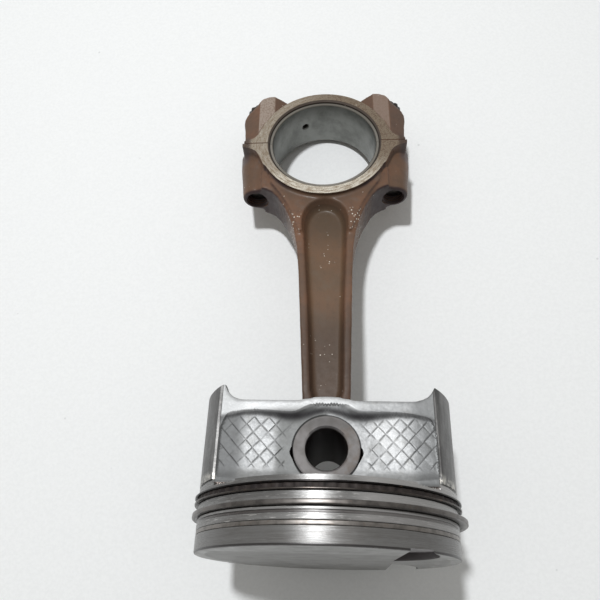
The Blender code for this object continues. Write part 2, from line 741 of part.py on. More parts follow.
def hang_on_pivot():
    """Parents the rod side to an empty on the pin axis, then swings it to its rest angle."""
    pivot = bpy.data.objects.new("rod_pivot", None)
    pivot.location = (0.0, COMP_HEIGHT, 0.0)
    PARTS.objects.link(pivot)
    bpy.context.view_layer.update()
    for name in HUNG_PIECES:
        piece = bpy.data.objects[name]
        world = piece.matrix_world.copy()
        piece.parent = pivot
        piece.matrix_world = world
    pivot.rotation_euler = (0.0, 0.0, REST_SWING)
    bpy.context.view_layer.update()


build_body()
for ring_name, (*ring_sizes, ring_gap_angle) in RINGS.items():
    build_ring(ring_name, ring_sizes, ring_gap_angle)
build_wrist_pin()
build_rod()
build_cap()
build_shell("rod_bearing_shell", -1)
build_shell("cap_bearing_shell", 1)
for bolt_hand, bolt_tag in HANDS:
    build_bolt(bolt_hand, bolt_tag)
hang_on_pivot()
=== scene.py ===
"""Piston, rings, wrist pin and connecting rod, built around the CAD frame.

The piston's axis is Y: its crown lies at y = 0 and its skirt opens towards +Y. The wrist pin lies
along Z, and the rod runs from it towards +Y, turned a little about it. Z is up from the table.
Lengths are in mm until make() turns them into metres. In loops, side is +1 or -1 for the half
towards +Z or -Z, and hand is the same for X.
"""

import math

import bmesh
import bpy
import numpy as np
from mathutils import Matrix, Vector


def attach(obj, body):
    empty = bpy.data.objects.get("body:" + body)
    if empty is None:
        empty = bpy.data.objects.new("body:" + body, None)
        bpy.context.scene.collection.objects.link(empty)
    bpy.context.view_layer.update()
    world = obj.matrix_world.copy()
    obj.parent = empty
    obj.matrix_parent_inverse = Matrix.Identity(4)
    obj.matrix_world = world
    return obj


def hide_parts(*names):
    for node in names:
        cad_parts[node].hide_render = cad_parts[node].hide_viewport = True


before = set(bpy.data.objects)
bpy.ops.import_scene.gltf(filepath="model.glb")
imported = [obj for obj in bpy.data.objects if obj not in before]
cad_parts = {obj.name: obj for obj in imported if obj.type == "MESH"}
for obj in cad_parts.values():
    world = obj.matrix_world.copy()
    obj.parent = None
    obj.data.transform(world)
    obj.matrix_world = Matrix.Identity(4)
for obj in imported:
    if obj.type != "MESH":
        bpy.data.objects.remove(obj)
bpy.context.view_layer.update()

MM = 0.001
TAU = 2 * math.pi
PIN_Y = 29.7                      # crown face to pin axis
ROD_LENGTH = 134.0                # pin axis to big end axis
REST_ANGLE = math.radians(1.1)    # the rod's turn about the pin
BIG_Y = PIN_Y + ROD_LENGTH        # big end axis, with the rod straight
FAR = 60.0                        # how far cutters reach, clear of the piece
SIDES = (1, -1)
scene = bpy.context.scene


# ------------------------------------------------------------------ mesh helpers
def make(name, points, faces):
    """An object from points in mm, with its faces turned outwards."""
    mesh = bpy.data.meshes.new(name)
    points = [tuple(point) for point in np.asarray(points, float) * MM]
    mesh.from_pydata(points, [], [tuple(int(i) for i in face) for face in faces])
    work = bmesh.new()
    work.from_mesh(mesh)
    bmesh.ops.recalc_face_normals(work, faces=work.faces)
    work.to_mesh(mesh)
    work.free()
    made = bpy.data.objects.new(name, mesh)
    scene.collection.objects.link(made)
    return made


def side_faces(count, steps, closed=False):
    """Quads between neighbouring rings of points."""
    faces = []
    for i in range(count if closed else count - 1):
        this, after = i * steps, ((i + 1) % count) * steps
        for j in range(steps):
            k = (j + 1) % steps
            faces.append((this + j, this + k, after + k, after + j))
    return faces


def loft(rings, closed=False, name="tool"):
    """A body through rings of points, capped at both ends or closed into a loop."""
    rings = np.asarray(rings, float)
    count, steps = rings.shape[:2]
    faces = side_faces(count, steps, closed)
    if not closed:
        faces += [tuple(range(steps)), tuple((count - 1) * steps + j for j in range(steps))]
    return make(name, rings.reshape(-1, 3), faces)


def lathe(profile, steps, axis="Y", centre=(0.0, 0.0, 0.0), name="tool"):
    """Turns a (radius, height) outline. It ends on the axis, or closes into a hollow ring."""
    def at(radius, height, angle):
        across, up = math.cos(angle) * radius, math.sin(angle) * radius
        if axis == "Y":
            return (centre[0] + across, centre[1] + height, centre[2] + up)
        return (centre[0] + across, centre[1] + up, centre[2] + height)

    angles = [TAU * i / steps for i in range(steps)]
    if profile[0][0] > 0 or profile[-1][0] > 0:
        return loft([[at(*spot, angle) for angle in angles] for spot in profile], True, name)
    inner = profile[1:-1]
    points = [at(*spot, angle) for spot in inner for angle in angles]
    faces = side_faces(len(inner), steps)
    low, high = len(points), len(points) + 1
    points += [at(0.0, profile[0][1], 0.0), at(0.0, profile[-1][1], 0.0)]
    last = (len(inner) - 1) * steps
    for j in range(steps):
        k = (j + 1) % steps
        faces.append((low, k, j))
        faces.append((high, last + j, last + k))
    return make(name, points, faces)


def lathe_z(half, y, steps, name="tool"):
    """Turns an outline about Z at height y, mirrored to -Z from its +Z half."""
    profile = [(radius, -height) for radius, height in half] + list(reversed(half))
    return lathe(profile, steps, "Z", (0, y, 0), name)


def cylinder(radius, start, end, steps=48):
    start, end = np.array(start, float), np.array(end, float)
    along = (end - start) / np.linalg.norm(end - start)
    across = np.cross(along, [1.0, 0, 0] if abs(along[0]) < 0.7 else [0, 1.0, 0])
    across /= np.linalg.norm(across)
    up = np.cross(along, across)
    angles = [TAU * i / steps for i in range(steps)]
    ring = [across * math.cos(t) * radius + up * math.sin(t) * radius for t in angles]
    return loft([[start + spot for spot in ring], [end + spot for spot in ring]])


def cylinder_z(radius, y, z_span, steps):
    return cylinder(radius, (0, y, z_span[0]), (0, y, z_span[1]), steps)


def prism(outline, z_span, name="tool"):
    return loft([[(x, y, z) for x, y in outline] for z in z_span], name=name)


def box(y_span, z_span, reach=FAR):
    """A box from -reach to +reach in X."""
    (low, high) = y_span
    return prism([(-reach, low), (reach, low), (reach, high), (-reach, high)], z_span)


def span(side, near, far):
    return sorted((side * near, side * far))


def evaluated(obj):
    graph = bpy.context.evaluated_depsgraph_get()
    graph.update()
    return bpy.data.meshes.new_from_object(obj.evaluated_get(graph))


def apply_modifiers(obj):
    mesh = evaluated(obj)
    obj.modifiers.clear()
    obj.data = mesh


def boolean(target, tool, operation, solver="MANIFOLD"):
    """Applies the tool and removes it. The exact solver takes over if the first did nothing."""
    before = len(target.data.polygons)
    for attempt in (solver, "EXACT"):
        step = target.modifiers.new("cut", "BOOLEAN")
        step.operation = operation
        step.solver = attempt
        step.object = tool
        bpy.context.view_layer.update()
        mesh = evaluated(target)
        target.modifiers.clear()
        if len(mesh.polygons) and (len(mesh.polygons) != before or attempt == "EXACT"):
            target.data = mesh
            break
    bpy.data.objects.remove(tool, do_unlink=True)


def cut(target, tool, solver="MANIFOLD"):
    boolean(target, tool, "DIFFERENCE", solver)


def fuse(target, tool, solver="MANIFOLD"):
    boolean(target, tool, "UNION", solver)


def remesh(obj, voxel, smoothing):
    """Rebuilds the surface from voxels and smooths it, which softens every corner."""
    step = obj.modifiers.new("remesh", "REMESH")
    step.mode = "VOXEL"
    step.voxel_size = voxel * MM
    step.adaptivity = 0.0
    apply_modifiers(obj)
    step = obj.modifiers.new("smooth", "SMOOTH")
    step.factor = 0.5
    step.iterations = smoothing
    apply_modifiers(obj)


def clean(obj):
    """Merges the near-coincident points that booleans leave."""
    distance = 0.02 * MM
    work = bmesh.new()
    work.from_mesh(obj.data)
    bmesh.ops.remove_doubles(work, verts=work.verts, dist=distance)
    bmesh.ops.dissolve_degenerate(work, edges=work.edges, dist=distance * 0.5)
    work.to_mesh(obj.data)
    work.free()


def swing(obj):
    """Turns a piece built with the rod straight to where the rod rests."""
    pin = Vector((0.0, PIN_Y * MM, 0.0))
    turn = Matrix.Rotation(REST_ANGLE, 4, "Z")
    obj.data.transform(Matrix.Translation(pin) @ turn @ Matrix.Translation(-pin))


def smoothstep(start, end, value):
    part = np.clip((value - start) / (end - start), 0.0, 1.0)
    return part * part * (3 - 2 * part)


def arc(x, y, radius, start, end, steps):
    """Points on an arc between two angles in degrees."""
    angles = [math.radians(start + (end - start) * i / steps) for i in range(steps + 1)]
    return [(x + radius * math.cos(t), y + radius * math.sin(t)) for t in angles]


def mirrored(half):
    """An outline completed to -X from its +X half."""
    return list(half) + [(-x, y) for x, y in reversed(half) if abs(x) > 1e-9]


def at_big_end(outline):
    return [(x, y + BIG_Y) for x, y in outline]


# ------------------------------------------------------------------ piston
LAND_R, SKIRT_R, SKIRT_END = 42.0, 42.05, 49.6
BELT_END = 18.2                   # end of the ring belt
WALL_Z, PANEL_Z, INNER_Z = 24.2, 22.7, 18.7    # boss wall: outside, panel, inside
GROOVES = ((5.1, 6.5), (10.0, 11.6), (14.0, 16.6))
GROOVE_ROOT_R = 37.9
TURNING_PITCH, TURNING_DEPTH = 0.45, 0.022
PIN_R, PIN_BORE_R, PIN_HALF = 10.5, 6.5, 23.25

# free end of the boss wall: distance from the middle in x, and y
WALL_END = (
    (0.0, 2.0, 4.0, 6.0, 8.0, 10.5, 14.0, 27.0, 28.4, 29.6, 30.6, 31.5, 32.3, 33.0, 33.3),
    (46.35, 46.25, 45.95, 45.55, 45.2, 45.02, 45.0, 45.0, 45.2, 45.6, 46.2, 47.1, 48.4, 50.2,
     53.0),
)
# start of the wall's raised rim: x and y
RIM_START = (
    (-34.0, -30.0, -26.0, -22.0, -12.0, -8.5, -6.0, -4.0, 0.0, 4.0, 6.0, 8.5, 12.0, 22.0, 27.0,
     31.0, 34.5),
    (39.6, 40.7, 41.5, 41.8, 41.75, 41.95, 42.35, 42.8, 43.15, 42.8, 42.35, 41.95, 41.7, 41.5,
     41.1, 40.3, 38.9),
)
# outlines turned about the piston axis: radius and y
STOCK = [(0, -1.6), (43.4, -1.6), (43.4, 51.6), (0, 51.6)]
HOLLOW = [(0, 8.0), (28.5, 8.0), (31.0, 8.6), (32.6, 10.4), (33.2, 13.0), (33.2, 19.2),
          (38.4, 24.0), (38.4, 70), (0, 70)]
SIDE_HOLLOW = [(0, 10.5), (31.2, 10.5), (33.0, 12.3), (34.0, 25), (0, 25)]
# web between the crown and each boss: x and y
BOSS_WEB = [(-8.5, 6.0), (8.5, 6.0), (12.4, 22.0), (-12.4, 22.0)]
# stiffening rib from the boss to the skirt: x and y
RIB = [(12.0, 27.0), (12.0, 33.0), (37.6, 30.6), (37.6, 28.6)]
# relief at the side of the pin bore: x, and y from the pin
BORE_RELIEF = [(9.0, -5.6), (10.2, -3.8), (11.3, -1.7), (11.45, -1.0), (11.1, 0.2), (9.0, 2.6)]
DRAIN_ANGLES, DRAIN_R, DRAIN_Y = (22, -22, 158, -158), 1.1, 15.3
# valve pockets: x, z, radius, depth, slope of the axis, then the flat side's x, z and turn
VALVE_POCKETS = (
    (15.05, 19.97, 17.55, 1.53, 0.054, 21.7, 18.0, 3.4),
    (11.5, -25.0, 20.2, 2.2, 0.0, 21.3, -25.0, 0.0),
)


def wall_end(x):
    """Height of the wall's free end, drawn out a little towards +X."""
    return float(np.interp(abs(x) - 1.2 * max(0.0, x - 27.0) / 6.3, *WALL_END))


def cast_core():
    """Everything that isn't machined, with soft corners."""
    core = lathe(STOCK, 120, name="core")
    for side in SIDES:
        cut(core, box((BELT_END, FAR), span(side, WALL_Z, FAR)))
    curve = [(float(x), wall_end(float(x))) for x in np.linspace(-33.2, 34.4, 120)]
    cut(core, prism([(34.5, FAR), (-33.3, FAR)] + curve, (-50, 50)))
    hollow = lathe(HOLLOW, 120)
    boolean(hollow, box((0, 80), (-INNER_Z, INNER_Z)), "INTERSECT")
    cut(core, hollow)
    for side in SIDES:
        hollow = lathe(SIDE_HOLLOW, 120)
        boolean(hollow, box((0, 40), span(side, 25.6, FAR)), "INTERSECT")
        cut(core, hollow)
        fuse(core, cylinder_z(15.2, PIN_Y, span(side, 12.0, 20.6), 64))
        fuse(core, prism(BOSS_WEB, span(side, 12.8, 20.1)))
        for hand in SIDES:
            fuse(core, prism([(hand * x, y) for x, y in RIB], span(side, 17.6, 19.4)))
    remesh(core, 0.62, 7)
    return core


def turned_profile():
    """The machined outside, from the middle of the crown to the open end of the skirt."""
    profile = [(0.0, 0.0), (LAND_R - 0.9, 0.0), (LAND_R - 0.45, 0.0), (LAND_R - 0.16, 0.12),
               (LAND_R, 0.45)]
    for number, (low, high) in enumerate(GROOVES):
        if number == 1:
            # shallow relief in the second land
            profile += [(LAND_R, 8.22), (LAND_R - 0.34, 8.42), (LAND_R - 0.36, 8.98),
                        (LAND_R, 9.2)]
        profile += [(LAND_R, low - 0.14), (LAND_R - 0.12, low), (GROOVE_ROOT_R, low),
                    (GROOVE_ROOT_R, high), (LAND_R - 0.12, high), (LAND_R, high + 0.14)]
    profile += [(LAND_R, 18.85), (LAND_R - 0.5, 18.98), (LAND_R - 0.5, 19.5), (SKIRT_R, 19.68)]
    # fine turning marks on the skirt
    height = 19.9
    while height < 48.7:
        profile += [(SKIRT_R, height), (SKIRT_R - TURNING_DEPTH, height + TURNING_PITCH / 2)]
        height += TURNING_PITCH
    return profile + [(SKIRT_R, 48.95), (SKIRT_R - 0.25, 49.35), (SKIRT_R - 0.8, SKIRT_END),
                      (0.0, SKIRT_END)]


def draft_skirt(body):
    """Drafts the +X skirt back towards its open end, at both of its edges."""
    for side in SIDES:
        draft = Matrix.Rotation(math.radians(0.8), 3, "Z")
        turn = np.array(draft @ Matrix.Rotation(math.radians(48 if side > 0 else 132), 3, "Y"))
        corner = np.array([34.39, 19.7, side * WALL_Z])
        outline = ((-3, 0), (3, 0), (3, 54), (-3, 54))
        cut(body, loft([[corner + turn @ np.array([x, y, z]) for x, y in outline]
                        for z in (0, 4)]))


# Boss panels: a height field on a grid laid along a diamond lattice
PITCH, SLANT = 3.35, math.radians(43.0)
SLANT_X, SLANT_Y = math.cos(SLANT), math.sin(SLANT)
LINE_HALF, LINE_DEPTH = 0.24, 0.095
# height, and tilt both ways, of each diamond
CELLS = np.random.default_rng(11).normal(0.0, 1.0, (64, 64, 3))
# grid lines within one pitch, closest beside the grooved lines
STOPS = np.array([0.0, 0.24, 0.5, 1.0, 1.675, 2.35, 2.85, 3.11])
MARKS = np.concatenate([STOPS + PITCH * k for k in range(-16, 17)])


def lattice(x, y):
    """Distances along the two directions of the lattice."""
    return x * SLANT_X + (y - PIN_Y) * SLANT_Y, -x * SLANT_X + (y - PIN_Y) * SLANT_Y


def in_cell(along):
    """Place within the pitch, and distance to the nearest line."""
    place = np.mod(along, PITCH)
    return place, np.minimum(place, PITCH - place)


def rim_foot(x):
    """Width of the rim's rounded foot, greater next to the pin."""
    return 1.5 + 1.7 * np.exp(-((np.abs(x) - 10.0) / 8.0) ** 2)


def line_fades(x):
    """What is left of each set of lines: only one reaches either skirt."""
    return smoothstep(25.5, 28.5, x), smoothstep(25.5, 28.5, -x)


def panel_height(x, y):
    """Height of the boss wall over the panel, from the pin's middle plane."""
    from_pin = np.hypot(x, y - PIN_Y)
    to_rim = np.interp(x, *RIM_START) - y
    foot = rim_foot(x)
    # the panel is deepest next to the pin and rises to the skirt
    depth = 1.75 - 0.95 * smoothstep(13.0, 33.0, np.abs(x))
    height = WALL_Z + 0.12 - depth * smoothstep(0.0, 1.0, to_rim / foot)
    # bow of the panel, so that it takes the light in upright bands
    bow = 0.16 * np.sin((x + 21.0) / 10.5), 0.12 * np.sin((x - 19.0) / 11.0)
    height += np.where(x < 0, *bow)
    # foot along the ring belt, and along the skirt
    height += 1.3 * (1 - smoothstep(18.4, 24.6, y)) ** 2
    inset = 1.9 * smoothstep(34.0, 42.0, y)
    to_skirt = np.where(x < 0, x + 34.1 - inset, 34.5 - x - inset)
    height += 1.5 * (1 - smoothstep(0.0, 1.1, to_skirt))
    # flat land round the pin bore
    near = smoothstep(15.6, 13.2, from_pin)
    height = height * (1 - near * 0.6) + near * 0.6 * np.minimum(height, PANEL_Z - 0.1)
    # the lattice keeps clear of the rim, the skirts, the belt and the bore
    area = (smoothstep(0.2, 1.2, to_rim - foot * 0.75) * smoothstep(0.6, 1.6, to_skirt)
            * smoothstep(23.2, 24.8, y) * smoothstep(12.8, 13.8, from_pin))
    first, second = lattice(x, y)
    (place_a, line_a), (place_b, line_b) = in_cell(first), in_cell(second)
    cell = CELLS[np.floor(first / PITCH).astype(int) % 64,
                 np.floor(second / PITCH).astype(int) % 64]
    # each diamond sits at its own height and tilt, and is slightly crowned
    tilted = (0.03 * cell[..., 0] + 0.026 * cell[..., 1] * (place_a - PITCH / 2)
              + 0.026 * cell[..., 2] * (place_b - PITCH / 2))
    crowned = 0.035 * (np.cos((place_a / PITCH - 0.5) * math.pi)
                       * np.cos((place_b / PITCH - 0.5) * math.pi))
    fade_a, fade_b = line_fades(x)
    groove = LINE_DEPTH * np.maximum(
        np.clip(1 - line_a / LINE_HALF, 0, 1) * (1 - 0.85 * fade_a),
        np.clip(1 - line_b / LINE_HALF, 0, 1) * (1 - 0.85 * fade_b))
    diamond = np.where((line_a > 0.05) & (line_b > 0.05), tilted + crowned, 0.0)
    return height + area * (diamond - groove)


def panel_tool(side):
    """A cutter whose inner face is the panel's surface."""
    first, second = np.meshgrid(MARKS, MARKS, indexing="ij")
    x = (first - second) / (2 * SLANT_X)
    y = (first + second) / (2 * SLANT_Y) + PIN_Y
    inside = (x > -36.0) & (x < 36.5) & (y > 17.4) & (y < 44.6)
    quads = inside[:-1, :-1] & inside[1:, :-1] & inside[1:, 1:] & inside[:-1, 1:]
    # the border is lifted clear of the wall
    border = (y > 43.6) | (x < -34.9) | (x > 35.1)
    z = panel_height(x, y)
    z = np.where(border, np.maximum(z, WALL_Z + 0.3), z)
    used = np.zeros(first.shape, bool)
    halves = (slice(None, -1), slice(1, None))
    for rows in halves:
        for columns in halves:
            used[rows, columns] |= quads
    ids = np.cumsum(used).reshape(used.shape) - 1
    count = used.sum()
    low = np.stack([x[used], y[used], side * z[used]], -1)
    high = np.stack([x[used], y[used], np.full(count, side * 33.0)], -1)
    faces = []
    edges = []
    for i, j in zip(*np.nonzero(quads)):
        quad = [ids[i, j], ids[i + 1, j], ids[i + 1, j + 1], ids[i, j + 1]]
        faces.append(quad)
        faces.append([k + count for k in reversed(quad)])
        edges += zip(quad, quad[1:] + quad[:1])
    known = set(edges)
    for start, end in edges:
        if (end, start) not in known:
            faces.append([end, start, start + count, end + count])
    return make("panel_tool", np.concatenate([low, high]), faces)


def cut_pin_bore(body):
    wide, bore = PIN_R + 1.2, PIN_R + 0.08
    cut(body, lathe_z([(0, 40), (wide, 40), (wide, 23.6), (bore, 22.2)], PIN_Y, 144))
    for side in SIDES:
        for hand in SIDES:
            outline = [(hand * x, PIN_Y + y) for x, y in BORE_RELIEF]
            cut(body, prism(outline, span(side, 8, 40)))


def cut_drains(body):
    """Radial holes through the root of the third groove."""
    for degrees in DRAIN_ANGLES:
        angle = math.radians(degrees)
        ends = [(reach * math.cos(angle), DRAIN_Y, reach * math.sin(angle))
                for reach in (28, 40)]
        cut(body, cylinder(DRAIN_R, *ends, 24))


def cut_valve_pockets(body):
    """Two pockets of different size, both running out through the crown's edge."""
    over = 6    # how far the cutter starts outside the crown
    for x0, z0, radius, depth, slope, flat_x, flat_z, degrees in VALVE_POCKETS:
        start = (x0, -over, z0 - slope * (over + depth))
        pocket = cylinder(radius, start, (x0, depth, z0), 128)
        turn = Matrix.Rotation(math.radians(degrees), 3, "Y")
        flat = Vector((flat_x, 0.0, flat_z))
        outline = ((-80, -20), (0, -20), (0, 20), (-80, 20))
        cut(pocket, loft([[tuple(flat + turn @ Vector((x, y, z))) for x, y in outline]
                          for z in (-FAR, FAR)]))
        cut(body, pocket)


def add_painted_shade(body):
    """Stores where shade is painted: in a band along the rim's foot and in the lattice lines."""
    places = np.zeros(len(body.data.vertices) * 3)
    body.data.vertices.foreach_get("co", places)
    places = places.reshape(-1, 3) / MM
    x, y, z = places[:, 0], places[:, 1], np.abs(places[:, 2])
    wide = np.abs(x)
    to_rim = np.interp(x, *RIM_START) - y
    foot = rim_foot(x)
    on_wall = (z > 20.5) & (z < 24.4) & (y > 19.0) & (x > -34.6) & (x < 34.9)
    band = (np.exp(-((to_rim - 0.62 * foot) / (0.48 * foot)) ** 2)
            * (0.55 + 0.45 * np.exp(-((wide - 9.0) / 11.0) ** 2)))
    first, second = lattice(x, y)
    fade_a, fade_b = line_fades(x)
    near_line = np.maximum((in_cell(first)[1] < 0.12) * (1 - fade_a),
                           (in_cell(second)[1] < 0.12) * (1 - fade_b))
    line = (near_line * (y > 23.8) * (to_rim > foot * 0.75 + 0.5)
            * (np.hypot(x, y - PIN_Y) > 13.2) * (z < 23.8))
    line_shade = (0.24 + 0.26 * smoothstep(24.0, 28.0, wide)) * line
    shade = np.where(on_wall, np.maximum(band, line_shade), 0.0)
    layer = body.data.attributes.new("painted_shade", "FLOAT", "POINT")
    layer.data.foreach_set("value", shade.astype(np.float32))


def build_piston():
    core = cast_core()
    body = lathe(turned_profile(), 288, name="piston")
    boolean(body, core, "INTERSECT")
    draft_skirt(body)
    for side in SIDES:
        cut(body, panel_tool(side))
    cut_pin_bore(body)
    cut_drains(body)
    cut_valve_pockets(body)
    clean(body)
    add_painted_shade(body)
    return body


# ------------------------------------------------------------------ rings
# name, outer and inner radius, low and high y, shift in x, gap, angle of the gap, corner radius
RINGS = (
    ("ring_top", 41.95, 38.6, 5.2, 6.4, 0.0, 0.7, -95.0, 0.12),
    ("ring_second", 44.2, 40.7, 10.1, 11.45, 0.6, 12.0, -70.0, 0.2),
    ("oil_rail_lower", 43.2, 40.4, 14.12, 14.62, 0.0, 7.0, -120.0, 0.14),
    ("oil_rail_upper", 43.2, 40.4, 15.98, 16.48, 0.0, 7.0, -60.0, 0.14),
)


def build_ring(name, outer, inner, low, high, shift, gap, degrees, corner):
    """A ring with rounded corners and a real gap, in one sweep."""
    corner = min(corner, (high - low) * 0.3)
    section = []
    for radius, y, start in (
        (outer - corner, low + corner, -90), (outer - corner, high - corner, 0),
        (inner + corner, high - corner, 90), (inner + corner, low + corner, 180),
    ):
        section += arc(radius, y, corner, start, start + 90, 3)
    half = gap / 2 / outer
    steps = 300
    rows = []
    for i in range(steps + 1):
        angle = math.radians(degrees) + half + (TAU - 2 * half) * i / steps
        rows.append([(shift + radius * math.cos(angle), y, radius * math.sin(angle))
                     for radius, y in section])
    return loft(rows, name=name)


def build_expander():
    """Corrugated spacer: a thin strip that waves in and out between the rails."""
    waves, depth, middle, half = 80, 0.10, 42.05, 0.3
    half_gap = 0.008    # radians
    steps = 960
    rows = []
    for i in range(steps + 1):
        angle = math.radians(-90.0) + half_gap + (TAU - 2 * half_gap) * i / steps
        mid = middle + math.tanh(2.2 * math.sin(waves * angle)) * depth
        rows.append([(radius * math.cos(angle), y, radius * math.sin(angle))
                     for radius, y in ((mid - half, 14.68), (mid + half, 14.68),
                                       (mid + half, 15.92), (mid - half, 15.92))])
    return loft(rows, name="oil_expander")


# ------------------------------------------------------------------ rod, built straight
BIG_HALF, HOUSING_R, RIM_R = 12.26, 23.55, 27.6    # machined half width, bore, big end outside
SHELL_IN_R, SHELL_HALF = 22.0, 11.1
JOINT = 0.06                      # half the gap between rod and cap
BOLT_X, SEAT = 29.0, 22.0         # bolt axis, and height of the head's seat
THREAD_PITCH = 1.25
FORGED_HALF = 14.4                # left proud of the machined planes, then faced off
CAP_HALF = 11.5
OIL_WAY = (-math.sin(math.radians(23.0)), math.cos(math.radians(23.0)))

# +X halves of outlines: x, and y from the big end axis
SHANK = [(0.0, -132.0), (8.3, -132.0), (8.4, -113.0), (9.1, -96.0), (9.8, -78.0), (10.5, -61.0),
         (11.3, -50.0), (12.6, -42.5), (14.4, -36.6), (16.6, -31.4), (18.3, -27.9),
         (18.3, -8.0), (0.0, -8.0)]
SHOULDER = [(0.0, -33.5), (15.2, -33.5), (17.0, -30.9), (19.5, -26.4), (22.0, -23.6),
            (25.0, -21.9), (26.6, -21.5), (26.6, -12.0), (0.0, -12.0)]
NECK = [(0.0, -44.0), (10.4, -44.0), (12.4, -38.5), (15.0, -31.4), (18.5, -25.2),
        (22.5, -19.5), (24.0, -10.0), (0.0, -10.0)]
ROD_WING = [(20.0, -12.0), (25.6, -12.0), (27.0, -8.6), (28.0, -6.2), (29.0, -4.5),
            (30.5, -3.3), (32.5, -2.5), (35.2, -1.8), (35.2, 3.0), (20.0, 3.0)]
CAP_WING = [(20.0, -3.0), (34.4, -3.0), (34.4, 1.4), (32.5, 1.8), (30.6, 2.6), (29.0, 4.0),
            (28.0, 5.9), (27.1, 8.2), (25.7, 11.6), (20.0, 11.6)]
CHANNEL = [(0.0, -29.0), (3.0, -29.6), (5.6, -31.2), (7.6, -34.0), (8.6, -37.5), (8.7, -41.0),
           (7.9, -56.0), (6.9, -74.5), (6.2, -95.0), (5.7, -110.0), (4.6, -114.0),
           (2.6, -116.2), (0.0, -117.0)]
CAP = [(0.0, -3.0), (34.4, -3.0), (34.6, 3.0), (35.0, 10.5), (35.6, 15.0), (35.4, 17.6),
       (34.3, 19.9), (31.7, 21.8), (29.8, 23.4), (28.9, 24.8), (27.3, 26.8), (25.0, 27.8),
       (22.4, 28.2), (18.8, 27.0), (14.0, 25.2), (10.0, 24.4), (0.0, 24.4)]
# channel walls: scale across, scale along about CHANNEL_MIDDLE, and z
CHANNEL_WALL = ((0.80, 0.955, 4.9), (0.93, 0.985, 6.6), (1.03, 1.006, 8.6), (1.16, 1.03, 12.0),
                (1.16, 1.03, 20.0))
CHANNEL_MIDDLE = 73.0             # towards the pin from the big end axis
# bolt boss: y from the big end axis, end radius, half width at its middle and inner end
BOSS = ((-21.2, 5.5, 8.6, 9.2), (-20.5, 6.2, 9.2, 9.8), (-13.6, 6.8, 9.3, 9.9),
        (-6.0, 7.6, 9.3, 9.9), (1.0, 7.8, 9.3, 9.9))
# bolt head: y from its seat, radius, and how far the splines are formed
BOLT_HEAD = (
    (-0.8, 3.95, 0), (-0.05, 4.1, 0), (0.0, 4.5, 0), (0.0, 6.6, 0), (0.25, 6.9, 0),
    (0.95, 6.9, 0), (1.25, 6.7, 0), (1.6, 5.95, 0.4), (1.8, 5.9, 1), (6.5, 5.9, 1),
    (7.0, 5.55, 1), (7.35, 5.0, 0.4), (7.4, 4.6, 0), (7.4, 3.2, 0), (7.0, 2.9, 0),
)


def build_pin():
    """A tube with rounded ends."""
    return lathe_z([
        (PIN_BORE_R, PIN_HALF - 0.9), (PIN_BORE_R + 0.25, PIN_HALF - 0.4),
        (PIN_BORE_R + 0.7, PIN_HALF), (PIN_R - 0.75, PIN_HALF), (PIN_R - 0.3, PIN_HALF - 0.12),
        (PIN_R - 0.08, PIN_HALF - 0.4), (PIN_R, PIN_HALF - 0.9),
    ], PIN_Y, 144, "pin")


def big_end_box(y_span, z_span=(-30, 30), reach=FAR):
    """A box whose y is measured from the big end axis."""
    return box((BIG_Y + y_span[0], BIG_Y + y_span[1]), z_span, reach)


def big_end_prism(half, depth, name="tool"):
    return prism(at_big_end(mirrored(half)), (-depth, depth), name)


def slope_tool(crest, level, degrees, hand, side, inward=False):
    """A slab whose lower face passes through a crest line and falls away from it."""
    tilt = math.radians(degrees)
    away = -hand if inward else hand
    down = np.array([away * math.cos(tilt), -side * math.sin(tilt)])
    normal = np.array([away * math.sin(tilt), side * math.cos(tilt)])
    point = np.array([hand * crest, side * level])
    start, end = point - 12 * down, point + 14 * down
    quad = [start, end, end + 14 * normal, start + 14 * normal]
    return loft([[(x, y, z) for x, z in quad] for y in (BIG_Y - FAR, BIG_Y + FAR)])


def wing(outline, hand):
    """The ear beside the joint plane, sloped towards its tip."""
    made = prism(at_big_end([(hand * x, y) for x, y in outline]), (-FORGED_HALF, FORGED_HALF))
    for side in SIDES:
        cut(made, slope_tool(32.2, FORGED_HALF, 33.0, hand, side))
    return made


def bolt_boss(hand):
    rows = []
    for height, radius, half, inner in BOSS:
        outline = ([(13.0, -inner), (22.0, -half)] + arc(BOLT_X, 0.0, radius, -90, 90, 24)
                   + [(22.0, half), (13.0, inner)])
        rows.append([(hand * x, height + BIG_Y, z) for x, z in outline])
    return loft(rows)


def big_end():
    return cylinder_z(RIM_R + 0.05, BIG_Y, (-FORGED_HALF, FORGED_HALF), 180)


def forged_rod():
    rod = big_end_prism(SHANK, 8.6, "rod")
    for part in (
        big_end_prism(SHOULDER, 8.9), bolt_boss(1), bolt_boss(-1), big_end_prism(NECK, 10.0),
        big_end(), wing(ROD_WING, 1), wing(ROD_WING, -1),
        cylinder_z(15.2, PIN_Y, (-10.4, 10.4), 96),
    ):
        fuse(rod, part, "EXACT")
    outline = mirrored(CHANNEL)
    for side in SIDES:
        cut(rod, loft([
            [(x * across, BIG_Y - CHANNEL_MIDDLE + (y + CHANNEL_MIDDLE) * along, side * z)
             for x, y in outline]
            for across, along, z in CHANNEL_WALL
        ]), "EXACT")
    cut(rod, big_end_box((2.0, FAR)), "EXACT")
    remesh(rod, 0.5, 9)
    return rod


def forged_cap():
    cap = big_end_prism(CAP, CAP_HALF, "cap")
    for hand in SIDES:
        for side in SIDES:
            cut(cap, slope_tool(28.5, CAP_HALF, 26.0, hand, side), "EXACT")
            cut(cap, slope_tool(21.9, CAP_HALF, 24.0, hand, side, inward=True), "EXACT")
    for part in (big_end(), wing(CAP_WING, 1), wing(CAP_WING, -1)):
        fuse(cap, part, "EXACT")
    cut(cap, big_end_box((-FAR, -2.0)), "EXACT")
    remesh(cap, 0.42, 5)
    return cap


